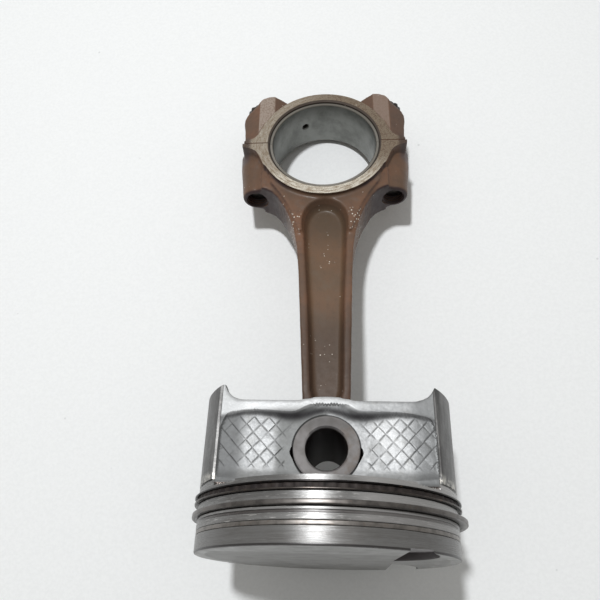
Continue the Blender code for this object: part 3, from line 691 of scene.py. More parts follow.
def face_big_end(piece):
    """Machined side faces and housing bore."""
    for side in SIDES:
        cut(piece, big_end_box((-FAR, FAR), span(side, BIG_HALF, 30)))
    chamfer = 0.7
    cut(piece, lathe_z([(0, 30), (HOUSING_R + chamfer, 30), (HOUSING_R + chamfer, BIG_HALF),
                        (HOUSING_R, BIG_HALF - chamfer)], BIG_Y, 216))


def break_joint_edges(piece):
    """A small chamfer where the joint plane meets the side faces."""
    size = 0.26
    for side in SIDES:
        cut(piece, loft([[
            (x, BIG_Y - size, side * BIG_HALF), (x, BIG_Y, side * (BIG_HALF - size)),
            (x, BIG_Y + size, side * BIG_HALF), (x, BIG_Y, side * (BIG_HALF + size)),
        ] for x in (-50.0, 50.0)]))


def threaded(start, end, x, minor, major, steps=36):
    """A cylinder with a helical thread in its side."""
    rows = []
    count = int(round((end - start) / THREAD_PITCH * 8))
    for i in range(count + 1):
        y = start + (end - start) * i / count
        row = []
        for j in range(steps):
            angle = TAU * j / steps
            phase = (y / THREAD_PITCH - angle / TAU) % 1.0
            wave = abs(phase - 0.5) * 2
            radius = minor + (major - minor) * min(1.0, max(0.0, (wave - 0.12) / 0.76))
            row.append((x + radius * math.cos(angle), y, radius * math.sin(angle)))
        rows.append(row)
    return loft(rows)


def build_rod():
    rod = forged_rod()
    face_big_end(rod)
    cut(rod, big_end_box((-JOINT, FAR)))
    cut(rod, lathe_z([(0, 30), (PIN_R + 0.06, 30)], PIN_Y, 144))
    break_joint_edges(rod)
    hole = [(0, -40), (4.75, -40), (4.75, -21.2), (4.2, -20.6), (4.2, 3.0), (0, 3.0)]
    for hand in SIDES:
        x = hand * BOLT_X
        cut(rod, lathe(hole, 64, centre=(x, BIG_Y, 0)))
        cut(rod, threaded(BIG_Y - 22.5, BIG_Y - 4.0, x, 4.1, 4.62))
    clean(rod)
    return rod


def build_cap():
    cap = forged_cap()
    face_big_end(cap)
    cut(cap, big_end_box((-FAR, JOINT)))
    break_joint_edges(cap)
    hole = [(0, -3), (4.4, -3), (4.4, SEAT), (7.7, SEAT), (7.7, 40), (0, 40)]
    for hand in SIDES:
        cut(cap, lathe(hole, 96, centre=(hand * BOLT_X, BIG_Y, 0)))
    ends = [(OIL_WAY[0] * reach, BIG_Y + OIL_WAY[1] * reach, 0) for reach in (20.5, 26.0)]
    cut(cap, cylinder(1.25, *ends, 32))
    clean(cap)
    return cap


def oil_drill():
    """The oil hole's drill, with a small countersink at the running face."""
    along = np.array([OIL_WAY[0], OIL_WAY[1], 0.0])
    centre = np.array([0.0, BIG_Y, 0.0])
    across = np.array([OIL_WAY[1], -OIL_WAY[0], 0.0])
    up = np.array([0.0, 0.0, 1.0])
    angles = [TAU * i / 32 for i in range(32)]
    return loft([
        [centre + along * reach + across * math.cos(t) * radius + up * math.sin(t) * radius
         for t in angles]
        for reach, radius in ((18.0, 1.75), (SHELL_IN_R + 0.05, 1.7), (SHELL_IN_R + 0.5, 1.25),
                              (27.0, 1.25))
    ])


def build_shell(name, trimmed):
    """Half a bearing shell: a whole ring with the trimmed y span cut away."""
    out = HOUSING_R - 0.08
    made = lathe_z([
        (SHELL_IN_R, SHELL_HALF - 0.55), (SHELL_IN_R + 0.14, SHELL_HALF - 0.2),
        (SHELL_IN_R + 0.34, SHELL_HALF), (out - 0.25, SHELL_HALF), (out, SHELL_HALF - 0.25),
    ], BIG_Y, 216, name)
    cut(made, big_end_box(trimmed, reach=40))
    return made


def build_bolt(name, hand):
    """A flanged bolt with twelve splines round its head, and its thread."""
    x = hand * BOLT_X
    steps = 144
    seat = SEAT + 0.06
    levels = [(-4.0, 3.7, 0), (0.5, 3.9, 0)]
    levels += [(seat + level, base, spline) for level, base, spline in BOLT_HEAD]
    rows = []
    for level, base, spline in levels:
        row = []
        for i in range(steps):
            angle = TAU * i / steps
            tooth = abs(((angle * 12 / TAU) % 1.0) - 0.5) * 2
            radius = base + spline * 0.42 * (1 - 2 * tooth ** 1.3) * 0.75
            row.append((x + radius * math.cos(angle), BIG_Y + level, radius * math.sin(angle)))
        rows.append(row)
    bolt = loft(rows, name=name)
    fuse(bolt, threaded(BIG_Y - 17.5, BIG_Y - 2.0, x, 3.55, 4.02, steps=48), "EXACT")
    return bolt


# ------------------------------------------------------------------ materials
class Shader:
    """A short way to wire a node tree. Lengths are in mm of the object's coordinates."""

    def __init__(self, name):
        self.material = bpy.data.materials.new(name)
        self.material.use_nodes = True
        self.tree = self.material.node_tree
        self.principled = self.tree.nodes["Principled BSDF"]
        scale = self.node("VectorMath", self.node("TexCoord").outputs["Object"])
        scale.operation = "SCALE"
        scale.inputs["Scale"].default_value = 1000.0
        self.mm = scale.outputs[0]

    def node(self, kind, *values):
        made = self.tree.nodes.new("ShaderNode" + kind)
        for socket, value in zip(made.inputs, values):
            self.put(socket, value)
        return made

    def put(self, socket, value):
        if hasattr(value, "links"):
            self.tree.links.new(value, socket)
        elif isinstance(value, tuple) and len(value) == 3 and len(socket.default_value) == 4:
            socket.default_value = (*value, 1.0)
        else:
            socket.default_value = value

    def split(self, vector):
        return self.node("SeparateXYZ", vector).outputs

    def normal_part(self, axis):
        return self.split(self.node("TexCoord").outputs["Normal"])[axis]

    def weave(self, *scaled):
        """A texture vector from (value, scale) pairs."""
        parts = [self.mul(value, scale) for value, scale in scaled]
        return self.node("CombineXYZ", *parts).outputs[0]

    def stretch(self, *factors):
        made = self.node("VectorMath", self.mm, factors)
        made.operation = "MULTIPLY"
        return made.outputs[0]

    def math(self, operation, *values):
        made = self.node("Math", *values)
        made.operation = operation
        return made.outputs[0]

    def mul(self, first, *others):
        for other in others:
            first = self.math("MULTIPLY", first, other)
        return first

    def add(self, first, second):
        return self.math("ADD", first, second)

    def sub(self, first, second):
        return self.math("SUBTRACT", first, second)

    def max(self, first, second):
        return self.math("MAXIMUM", first, second)

    def abs(self, value):
        return self.math("ABSOLUTE", value)

    def angle(self, across, up):
        return self.math("ARCTAN2", up, across)

    def radius(self, across, up):
        return self.math("SQRT", self.add(self.mul(across, across), self.mul(up, up)))

    def ramp(self, value, over, to=(0.0, 1.0)):
        """Smoothly carries the value from one range to another."""
        made = self.node("MapRange", value, *over, *to)
        made.interpolation_type = "SMOOTHSTEP"
        return made.outputs[0]

    def noise(self, scale=1.0, detail=4.0, rough=0.6, vector=None):
        """scale is in features per mm."""
        made = self.node("TexNoise", self.mm if vector is None else vector)
        made.inputs["Scale"].default_value = scale
        made.inputs["Detail"].default_value = detail
        made.inputs["Roughness"].default_value = rough
        return made.outputs["Fac"]

    def voronoi(self, scale):
        made = self.node("TexVoronoi", self.mm)
        made.inputs["Scale"].default_value = scale
        return made.outputs["Distance"]

    def mix(self, mask, low, high):
        """Mixes two colours."""
        made = self.node("Mix")
        made.data_type = "RGBA"
        for socket, value in ((0, mask), (6, low), (7, high)):
            self.put(made.inputs[socket], value)
        return made.outputs[2]

    def tint(self, tone, mask, colour, strength=None):
        """Lays a colour over the tone where the mask is."""
        return self.mix(mask if strength is None else self.mul(mask, strength), tone, colour)

    def blend(self, mask, low, high):
        """Mixes two numbers."""
        made = self.node("Mix", mask)
        made.data_type = "FLOAT"
        self.put(made.inputs[2], low)
        self.put(made.inputs[3], high)
        return made.outputs[0]

    def bump(self, height, distance, strength=1.0, after=None):
        made = self.node("Bump")
        made.inputs["Strength"].default_value = strength
        made.inputs["Distance"].default_value = distance * MM
        self.put(made.inputs["Height"], height)
        if after is not None:
            self.put(made.inputs["Normal"], after)
        return made.outputs[0]

    def out(self, color, metallic, roughness, normal, **more):
        inputs = {"Base Color": color, "Metallic": metallic, "Roughness": roughness,
                  "Normal": normal}
        inputs.update((key.replace("_", " "), value) for key, value in more.items())
        for key, value in inputs.items():
            self.put(self.principled.inputs[key], value)
        return self.material


def cast_skin(mat, x, y, wide, high, coarse, painted_shade):
    """Tone of the unmachined outside with its painted light and shade, and how dull it is."""
    ramp, mul, tint = mat.ramp, mat.mul, mat.tint
    tone = mat.mix(ramp(coarse, over=(0.3, 0.7)),
                   low=(0.25, 0.255, 0.26), high=(0.355, 0.36, 0.365))
    blotches = ramp(mat.noise(scale=0.3, detail=3.0), over=(0.48, 0.7))
    tone = tint(tone, blotches, colour=(0.19, 0.188, 0.18), strength=0.45)
    near_belt = ramp(mul(y, 1.0), over=(24.6, 22.6))
    tone = tint(tone, near_belt, colour=(0.26, 0.262, 0.262), strength=0.4)
    # painted shade: the edges beside the panel are darker, and duller
    wall = ramp(high, over=(21.6, 22.0))
    outer_side = mul(ramp(wide, over=(24.5, 29.0)), wall)
    tone = tint(tone, outer_side, colour=(0.11, 0.113, 0.115), strength=0.75)
    inner_side = mul(mul(ramp(wide, over=(17.2, 14.2)), wall),
                     mul(ramp(x, over=(2.0, -2.0)), ramp(y, over=(44.0, 41.5))))
    tone = tint(tone, inner_side, colour=(0.115, 0.118, 0.115), strength=0.7)
    # painted highlight: a pale upright band on the +X half
    band = mul(mul(ramp(x, over=(12.0, 16.0)), ramp(x, over=(25.0, 21.0))),
               mul(wall, mul(ramp(y, over=(25.0, 28.5)),
                             ramp(y, over=(41.5, 40.0), to=(0.0, 0.34)))))
    tone = tint(tone, band, colour=(0.55, 0.555, 0.56))
    # painted highlight along the rim bead, strongest from the middle towards -X
    rim = mul(ramp(high, over=(23.55, 23.95)), ramp(y, over=(38.0, 39.5)))
    tone = tint(tone, rim, colour=(0.60, 0.605, 0.61),
                strength=ramp(x, over=(16.0, 6.0), to=(0.10, 0.45)))
    dull = mat.max(mul(ramp(x, over=(-24.0, -28.0)), wall), mul(inner_side, 0.6))
    dull = mul(dull, mat.sub(1.0, rim))
    # painted shade along the rim's foot and in the lattice lines
    return tint(tone, painted_shade, colour=(0.030, 0.028, 0.031), strength=1.0), dull


def land_tone(mat, x, y, wide, angle, radius, edge):
    """Tone of the turned ring lands, from crown to skirt, with painted light and shade."""
    ramp, mul, tint = mat.ramp, mat.mul, mat.tint
    broad = mat.noise(detail=3.0, vector=mat.weave((angle, 2.5), (y, 1.6)))
    tone = mat.mix(ramp(broad, over=(0.35, 0.7)),
                   low=(0.40, 0.395, 0.39), high=(0.30, 0.29, 0.28))
    stain = mat.noise(scale=0.16, rough=0.65, vector=mat.stretch(1.0, 2.6, 1.0))
    tone = tint(tone, ramp(stain, over=(0.46, 0.68)), colour=(0.20, 0.18, 0.165), strength=0.4)
    worn = mat.noise(rough=0.72, vector=mat.weave((angle, 9.0), (y, 2.2)))
    worn = mul(ramp(worn, over=(0.57, 0.63)), ramp(y, over=(4.6, 5.2), to=(0.15, 1.0)))
    tone = tint(tone, worn, colour=(1.0, 0.98, 0.95), strength=0.75)
    # painted shadow of the second ring, in the relief of the second land
    relief = mul(ramp(mat.abs(mat.sub(y, 8.7)), over=(0.52, 0.42)),
                 ramp(radius, over=(41.97, 41.9)))
    tone = tint(tone, relief, colour=(0.10, 0.085, 0.09), strength=0.6)
    # painted highlight along the land's edge next to the second groove
    lip = ramp(mat.abs(mat.sub(y, 9.5)), over=(0.32, 0.24))
    tone = tint(tone, lip, colour=(0.62, 0.61, 0.60), strength=0.5)
    # painted light and shade round the lands, and from one land to the next: darker at the far
    # left and towards the sides, lighter on the right
    far_left = ramp(x, over=(-35.0, -40.5))
    tone = tint(tone, far_left, colour=(0.13, 0.125, 0.12), strength=0.8)
    past_top_land = ramp(y, over=(6.0, 7.0))
    right = mul(ramp(x, over=(5.0, 12.0)), past_top_land)
    tone = tint(tone, right, colour=(0.66, 0.64, 0.63), strength=0.6)
    top_land = mul(ramp(wide, over=(6.0, 12.0)), mat.sub(1.0, past_top_land))
    tone = tint(tone, top_land, colour=(0.20, 0.195, 0.19), strength=0.5)
    low_left = mul(ramp(x, over=(-8.0, -14.0)), ramp(y, over=(12.0, 12.6)))
    tone = tint(tone, low_left, colour=(0.17, 0.165, 0.16), strength=0.45)
    low_right = mul(ramp(x, over=(6.0, 14.0)), ramp(y, over=(11.4, 12.0)))
    tone = tint(tone, low_right, colour=(0.80, 0.78, 0.76), strength=0.45)
    tone = tint(tone, ramp(wide, over=(4.0, 22.0), to=(0.50, 0.57)), colour=(0.0, 0.0, 0.0))
    return tint(tone, edge, colour=(0.03, 0.027, 0.027), strength=0.8)


def skirt_tone(mat, y, angle):
    patches = mat.noise(scale=0.22, vector=mat.stretch(1.6, 0.5, 1.6))
    tone = mat.mix(mat.ramp(patches, over=(0.35, 0.7)),
                   low=(0.075, 0.073, 0.072), high=(0.145, 0.142, 0.14))
    scuff = mat.noise(rough=0.7, vector=mat.weave((angle, 14.0), (y, 0.25)))
    scuff = mat.ramp(scuff, over=(0.5, 0.72))
    tone = mat.tint(tone, scuff, colour=(0.24, 0.235, 0.23), strength=0.3)
    # bright patches next to the belt
    return mat.tint(tone, mat.ramp(y, over=(23.0, 20.2)), colour=(0.50, 0.48, 0.44),
                    strength=mat.ramp(mat.noise(scale=0.5, rough=0.7), over=(0.42, 0.6)))


def crown_tone(mat, radius):
    patches = mat.noise(scale=0.10, vector=mat.stretch(1.0, 1.0, 3.0))
    tone = mat.mix(mat.ramp(patches, over=(0.35, 0.7)),
                   low=(0.26, 0.256, 0.249), high=(0.17, 0.165, 0.160))
    flecks = mat.noise(scale=0.7, rough=0.7, vector=mat.stretch(0.35, 1.0, 1.6))
    flecks = mat.mul(mat.ramp(flecks, over=(0.55, 0.62)),
                     mat.ramp(radius, over=(30.0, 38.0), to=(0.4, 1.0)))
    return mat.tint(tone, flecks, colour=(0.58, 0.58, 0.57), strength=0.45)


def cast_aluminium():
    mat = Shader("cast_aluminium")
    ramp, mul, tint = mat.ramp, mat.mul, mat.tint
    x, y, z = mat.split(mat.mm)
    angle, radius = mat.angle(x, z), mat.radius(x, z)
    wide, high = mat.abs(x), mat.abs(z)
    # regions
    outside = ramp(radius, over=(41.2, 41.45))
    crown = ramp(y, over=(0.35, 0.2))
    groove = mul(ramp(radius, over=(37.5, 37.7)), ramp(y, over=(18.9, 18.7)),
                 ramp(y, over=(4.3, 4.6)))
    skirt = mul(outside, ramp(y, over=(19.5, 19.7)))
    lands = mul(outside, ramp(y, over=(19.6, 19.5)))
    machined = mat.max(mat.max(outside, crown), groove)
    edge = mul(ramp(y, over=(0.02, 0.08)), ramp(y, over=(0.78, 0.55)))
    inner = mul(ramp(high, over=(21.0, 19.6)), ramp(radius, over=(38.8, 38.2)))
    pocket = mul(mul(ramp(y, over=(0.05, 0.12)), ramp(y, over=(3.2, 3.0))),
                 mul(ramp(x, over=(19.8, 20.4)), ramp(radius, over=(41.95, 41.9))))
    pocket = mul(pocket, mat.sub(1.0, groove))
    # painted shade along the rim's foot and in the lattice lines, stored on the piston
    attribute = mat.node("Attribute")
    attribute.attribute_name = "painted_shade"
    painted_shade = attribute.outputs["Fac"]
    # textures: cast grain, and turning marks that run round the piston
    broad = mat.noise(scale=0.16, detail=3.0, rough=0.5)
    coarse = mat.noise(scale=0.9)
    fine = mat.noise(scale=4.5, rough=0.65)
    marks = mat.noise(detail=3.0, vector=mat.weave((angle, 6.0), (y, 14.0), (radius, 0.2)))
    scratches = mat.noise(detail=2.0, vector=mat.weave((angle, 1.2), (y, 26.0)))
    # tone: the inside is dull and oil-browned, and the valve pockets get painted shade
    tone, dull = cast_skin(mat, x, y, wide, high, coarse, painted_shade)
    brown = mat.mix(ramp(coarse, over=(0.35, 0.65)),
                    low=(0.15, 0.125, 0.10), high=(0.24, 0.22, 0.19))
    tone = tint(tone, inner, colour=brown, strength=0.75)
    tone = mat.mix(lands, tone, land_tone(mat, x, y, wide, angle, radius, edge))
    tone = mat.mix(skirt, tone, skirt_tone(mat, y, angle))
    tone = mat.mix(crown, tone, crown_tone(mat, radius))
    # painted shade in the ring grooves
    tone = tint(tone, groove, colour=(0.055, 0.045, 0.04),
                strength=ramp(radius, over=(41.75, 41.55)))
    # painted shade in the valve pockets
    tone = tint(tone, pocket, colour=(0.15, 0.138, 0.142),
                strength=ramp(radius, over=(41.95, 41.6)))
    # dark broken edge of the crown
    tone = tint(tone, mul(edge, 0.85), colour=(0.03, 0.027, 0.027),
                strength=ramp(radius, over=(41.5, 41.6)))
    rough = mat.blend(dull, low=ramp(fine, over=(0.3, 0.75), to=(0.42, 0.52)), high=0.60)
    rough = mat.blend(painted_shade, rough, high=0.8)
    for mask, limits in ((machined, (0.24, 0.32)), (skirt, (0.34, 0.46)), (crown, (0.33, 0.45))):
        rough = mat.blend(mask, rough, ramp(marks, over=(0.3, 0.7), to=limits))
    rough = mat.blend(inner, rough, high=0.5)
    # heights in mm of each cast grain
    grain = mat.add(mul(coarse, 0.045), mat.add(mul(fine, 0.008), mul(mat.voronoi(3.2), 0.006)))
    grain = mul(mat.add(grain, mul(broad, 0.16)), mat.sub(1.0, machined))
    turned = mul(mat.add(marks, scratches), machined)
    normal = mat.bump(grain, distance=1.0)
    normal = mat.bump(turned, distance=0.012, strength=0.7, after=normal)
    metal = mat.blend(lands, low=mat.blend(machined, low=0.40, high=0.85), high=0.2)
    return mat.out(tone, metal, rough, normal)


def dark_ring(name, face, side, worn_radius):
    """Ring steel, with its running face in another tone from its sides."""
    mat = Shader(name)
    x, y, z = mat.split(mat.mm)
    angle, radius = mat.angle(x, z), mat.radius(x, z)
    marks = mat.noise(rough=0.65, vector=mat.weave((angle, 5.0), (y, 10.0), (radius, 3.0)))
    outer = mat.ramp(radius, over=(worn_radius - 0.25, worn_radius - 0.05))
    patches = mat.ramp(mat.noise(scale=0.22, rough=0.65), over=(0.4, 0.65))
    tone = mat.mix(outer, side, mat.mix(patches, face, tuple(part * 0.6 for part in face)))
    rust = mat.ramp(mat.noise(scale=0.6, rough=0.7), over=(0.58, 0.75))
    tone = mat.tint(tone, rust, colour=(0.16, 0.10, 0.06), strength=0.5)
    return mat.out(tone, mat.blend(outer, low=0.75, high=0.9),
                   mat.ramp(marks, over=(0.3, 0.7), to=(0.28, 0.42)),
                   mat.bump(marks, distance=0.01, strength=0.6))


def ground_pin():
    mat = Shader("pin_steel")
    x, y, z = mat.split(mat.mm)
    across, up = mat.sub(x, 0.0), mat.sub(y, PIN_Y)
    angle, radius = mat.angle(across, up), mat.radius(across, up)
    marks = mat.noise(detail=3.0, vector=mat.weave((angle, 0.8), (radius, 9.0), (z, 0.3)))
    tone = mat.mix(mat.ramp(mat.noise(scale=0.35), over=(0.35, 0.7)),
                   low=(0.40, 0.385, 0.39), high=(0.30, 0.285, 0.28))
    brown = mat.mul(mat.ramp(x, over=(-1.0, 6.0)),
                    mat.ramp(mat.noise(scale=0.4), over=(0.4, 0.65)))
    tone = mat.tint(tone, brown, colour=(0.27, 0.215, 0.18), strength=0.5)
    # painted shade: the face is darker towards +Y
    tone = mat.tint(tone, mat.ramp(y, over=(34.0, 38.0), to=(0.0, 0.5)),
                    colour=(0.17, 0.165, 0.165))
    edge = (PIN_BORE_R + 0.15, PIN_BORE_R + 0.03)
    # painted shade: the bore is near-black
    tone = mat.tint(tone, mat.ramp(radius, over=edge), colour=(0.035, 0.026, 0.024))
    # painted shade round the pin's outer edge
    rim = mat.ramp(radius, over=(PIN_R - 0.3, PIN_R - 0.05))
    tone = mat.tint(tone, rim, colour=(0.09, 0.075, 0.07), strength=0.8)
    polished = mat.ramp(marks, over=(0.3, 0.7), to=(0.045, 0.055))
    rough = mat.blend(mat.ramp(radius, over=edge), polished, high=0.5)
    return mat.out(tone, 0.65, rough, mat.bump(marks, distance=0.0012, strength=0.5))


def varnished_tone(mat, x, y, wide, high, mottle, speck):
    """Tone of the brown forged skin, on the rod and on the cap."""
    ramp, mul, tint = mat.ramp, mat.mul, mat.tint
    tone = mat.mix(ramp(mat.noise(scale=0.055, detail=5.0, rough=0.62), over=(0.35, 0.68)),
                   low=(0.108, 0.066, 0.043), high=(0.158, 0.080, 0.047))
    tone = tint(tone, ramp(mottle, over=(0.48, 0.72)), colour=(0.080, 0.048, 0.036),
                strength=0.4)
    grey = ramp(mat.noise(scale=0.12, detail=5.0, rough=0.65), over=(0.55, 0.72))
    tone = tint(tone, grey, colour=(0.130, 0.102, 0.082), strength=0.4)
    # olive tint in the channel, painted shade at its big end, and a dark small end
    channel = mul(ramp(high, over=(7.0, 5.2)), ramp(wide, over=(9.5, 8.0)))
    tone = tint(tone, channel, colour=(0.125, 0.082, 0.045), strength=0.45)
    head = mul(ramp(high, over=(7.8, 7.0)), ramp(wide, over=(11.0, 9.5)),
               ramp(y, over=(-54.0, -38.0)))
    tone = tint(tone, head, colour=(0.050, 0.034, 0.022), strength=0.45)
    small_end = ramp(y, over=(-70.0, -92.0))
    tone = tint(tone, small_end, colour=(0.040, 0.025, 0.019), strength=0.55)
    # painted shade: the bolt shoulders' faces towards the pin are darkened to purple-black
    normal_y, normal_z = mat.normal_part(1), mat.normal_part(2)
    shoulder = mul(ramp(normal_y, over=(-0.12, -0.72)),
                   mul(ramp(wide, over=(12.0, 17.0)), ramp(y, over=(-10.0, -13.0))))
    tone = tint(tone, shoulder, colour=(0.030, 0.020, 0.024), strength=0.85)
    tips = mul(ramp(wide, over=(31.2, 33.6)), ramp(mat.abs(y), over=(7.5, 4.0)))
    tone = tint(tone, tips, colour=(0.062, 0.043, 0.044), strength=0.75)
    # cap: lighter faces across Z, with painted light towards -X, and painted shade on the flanks,
    # most towards +X, and in the valleys
    on_cap = ramp(y, over=(0.3, 1.2))
    face = mul(mul(ramp(wide, over=(28.7, 28.3)), ramp(wide, over=(21.4, 22.2))),
               mul(on_cap, ramp(mat.abs(normal_z), over=(0.90, 0.96))))
    pale = mat.mix(ramp(x, over=(-8.0, 8.0)),
                   low=(0.33, 0.275, 0.235), high=(0.225, 0.165, 0.135))
    pale = tint(pale, ramp(speck, over=(0.42, 0.66)), colour=(0.19, 0.135, 0.10))
    tone = tint(tone, face, colour=pale, strength=0.9)
    valley = mul(on_cap, ramp(wide, over=(21.9, 21.4)))
    tone = tint(tone, valley, colour=(0.085, 0.052, 0.038), strength=0.45)
    flank = mul(on_cap, ramp(wide, over=(28.5, 29.2)))
    return tint(tone, flank, colour=(0.070, 0.045, 0.036),
                strength=ramp(x, over=(-8.0, 8.0), to=(0.15, 0.55)))


def machined_tone(mat, x, y, wide, speck, streak):
    """Side faces, freckled where the varnish has crept on, cleanest towards the rod."""
    ramp = mat.ramp
    dirty = mat.mix(ramp(speck, over=(0.38, 0.62)),
                    low=(0.36, 0.295, 0.225), high=(0.135, 0.092, 0.064))
    bare = mat.mix(ramp(streak, over=(0.40, 0.62)),
                   low=(0.86, 0.81, 0.71), high=(0.44, 0.36, 0.27))
    rodward = mat.mul(ramp(y, over=(-6.0, -22.0)), ramp(speck, over=(0.62, 0.46), to=(0.55, 1.0)))
    # painted light: the faces are lighter towards -X
    left = ramp(x, over=(10.0, -18.0), to=(0.0, 0.35))
    tone = mat.mix(mat.max(rodward, left), dirty, bare)
    return mat.tint(tone, ramp(wide, over=(30.6, 32.6)), colour=(0.085, 0.058, 0.050),
                    strength=0.85)


def varnished_forging():
    mat = Shader("varnished_forging")
    ramp, mul = mat.ramp, mat.mul
    # across and along the rod itself, from the big end axis
    cosine, sine = math.cos(REST_ANGLE), math.sin(REST_ANGLE)
    frame_x, frame_y, z = mat.split(mat.mm)
    up = mat.sub(frame_y, PIN_Y)
    x = mat.add(mul(frame_x, cosine), mul(up, sine))
    y = mat.sub(mat.sub(mul(up, cosine), mul(frame_x, sine)), ROD_LENGTH)
    wide, high = mat.abs(x), mat.abs(z)
    angle, radius = mat.angle(x, y), mat.radius(x, y)
    mottle = mat.noise(scale=0.5)
    grain = mat.noise(scale=2.6, rough=0.65)
    speck = mat.noise(scale=1.5, detail=5.0, rough=0.72)
    streak = mat.noise(rough=0.7, vector=mat.weave((angle, 7.0), (radius, 1.6)))
    # bare metal showing in pits, most of all at the neck
    pits = mul(ramp(mat.voronoi(0.55), over=(0.16, 0.07)),
               ramp(mat.noise(scale=0.09, detail=3.0), over=(0.56, 0.66)))
    neck = mul(ramp(mat.abs(mat.sub(wide, 12.5)), over=(3.4, 1.6)),
               ramp(mat.abs(mat.add(y, 38.5)), over=(6.5, 3.0)))
    pits = mat.max(pits, mul(neck, ramp(mat.voronoi(0.8), over=(0.30, 0.16))))
    face = ramp(high, over=(12.19, 12.23))
    bored = mul(ramp(radius, over=(24.45, 24.35)), ramp(high, over=(12.23, 12.19)))
    tone = mat.mix(face, varnished_tone(mat, x, y, wide, high, mottle, speck),
                   machined_tone(mat, x, y, wide, speck, streak))
    tone = mat.tint(tone, bored, colour=(0.13, 0.105, 0.09))
    tone = mat.tint(tone, pits, colour=(0.75, 0.70, 0.62))
    metal = mat.blend(face, mul(bored, 0.8), ramp(speck, over=(0.62, 0.38), to=(0.45, 0.95)))
    rough = mat.blend(face, ramp(mottle, over=(0.3, 0.7), to=(0.38, 0.52)),
                      ramp(speck, over=(0.38, 0.62), to=(0.26, 0.42)))
    skin = mul(mat.add(mul(mottle, 0.5), mul(grain, 0.22)), mat.sub(1.0, face))
    normal = mat.bump(skin, distance=0.14, strength=0.5)
    normal = mat.bump(mul(mat.add(speck, streak), face), distance=0.05, strength=0.8,
                      after=normal)
    return mat.out(tone, mat.max(metal, pits), rough, normal,
                   Coat_Weight=0.07, Coat_Roughness=0.25, Specular_IOR_Level=0.26)


def shell_alloy():
    mat = Shader("shell_alloy")
    x, y, z = mat.split(mat.mm)
    angle = mat.angle(mat.sub(x, -math.sin(REST_ANGLE) * ROD_LENGTH),
                      mat.sub(y, PIN_Y + math.cos(REST_ANGLE) * ROD_LENGTH))
    streaks = mat.noise(vector=mat.weave((angle, 1.5), (z, 2.2)))
    tone = mat.mix(mat.ramp(mat.noise(scale=0.16), over=(0.35, 0.7)),
                   low=(0.235, 0.24, 0.225), high=(0.155, 0.158, 0.147))
    edge = mat.ramp(mat.abs(z), over=(10.55, 10.85))
    tone = mat.tint(tone, edge, colour=(0.25, 0.235, 0.21))
    return mat.out(tone, 0.9, mat.ramp(streaks, over=(0.3, 0.7), to=(0.33, 0.46)),
                   mat.bump(streaks, distance=0.01, strength=0.5))


def bolt_steel():
    mat = Shader("bolt_steel")
    patches = mat.noise(scale=0.5, rough=0.65)
    tone = mat.mix(mat.ramp(patches, over=(0.4, 0.7)),
                   low=(0.030, 0.028, 0.027), high=(0.075, 0.062, 0.05))
    return mat.out(tone, 0.75, mat.ramp(patches, over=(0.3, 0.7), to=(0.28, 0.45)),
                   mat.bump(mat.noise(scale=3.0, detail=3.0), distance=0.02, strength=0.5))


def spacer_steel():
    mat = Shader("spacer_steel")
    patches = mat.noise(scale=0.5, rough=0.65)
    tone = mat.mix(mat.ramp(patches, over=(0.4, 0.65)),
                   low=(0.040, 0.032, 0.029), high=(0.022, 0.018, 0.018))
    return mat.out(tone, 0.25, 0.6, mat.bump(patches, distance=0.03, strength=0.6),
                   Specular_IOR_Level=0.2)


def pale_table():
    """Speckled paper, clear when seen from below."""
    mat = Shader("pale_table")
    grain = mat.noise(scale=0.8)
    tone = mat.mix(mat.ramp(grain, over=(0.3, 0.7)),
                   low=(0.83, 0.84, 0.845), high=(0.87, 0.88, 0.885))
    specks = mat.ramp(mat.voronoi(0.05), over=(0.035, 0.02))
    tone = mat.tint(tone, specks, colour=(0.45, 0.45, 0.46), strength=0.35)
    mat.out(tone, 0.0, 0.7, mat.bump(grain, distance=0.03, strength=0.4))
    mixer = mat.node("MixShader", mat.node("NewGeometry").outputs["Backfacing"],
                     mat.principled.outputs[0], mat.node("BsdfTransparent").outputs[0])
    mat.put(mat.tree.nodes["Material Output"].inputs[0], mixer.outputs[0])
    return mat.material


# ------------------------------------------------------------------ stage
def build_table():
    """A sheet under the piston that rises towards +Y."""
    def corner(x, y):
        return (x, y, -44.2 + 0.177 * (y - 10.8))

    corners = [corner(-1500, -900), corner(1500, -900), corner(1500, 1700), corner(-1500, 1700)]
    table = make("table", corners, [(0, 1, 2, 3)])
    table.data.materials.append(pale_table())
    # an open sheet may be turned either way by make()
    if table.data.polygons[0].normal.z < 0:
        table.data.flip_normals()


def build_world():
    """A soft grey surround, a little darker overhead and brighter towards +Y."""
    world = bpy.data.worlds.new("studio")
    scene.world = world
    world.use_nodes = True
    nodes, links = world.node_tree.nodes, world.node_tree.links
    background = nodes["Background"]
    direction = nodes.new("ShaderNodeTexCoord").outputs["Generated"]
    parts = nodes.new("ShaderNodeSeparateXYZ")
    links.new(direction, parts.inputs[0])
    ramp = nodes.new("ShaderNodeValToRGB")
    links.new(parts.outputs[2], ramp.inputs[0])
    ramp.color_ramp.interpolation = "EASE"
    low, high = ramp.color_ramp.elements
    low.position, low.color = 0.0, (0.47, 0.465, 0.445, 1)
    high.position, high.color = 1.0, (0.385, 0.38, 0.365, 1)
    ramp.color_ramp.elements.new(0.35).color = (0.43, 0.425, 0.407, 1)
    links.new(ramp.outputs[0], background.inputs[0])
    lean = nodes.new("ShaderNodeVectorMath")
    lean.operation = "DOT_PRODUCT"
    lean.inputs[1].default_value = (0.0, 0.42, 0.0)
    links.new(direction, lean.inputs[0])
    total = nodes.new("ShaderNodeMath")
    total.inputs[1].default_value = 1.0
    links.new(lean.outputs["Value"], total.inputs[0])
    links.new(total.outputs[0], background.inputs[1])


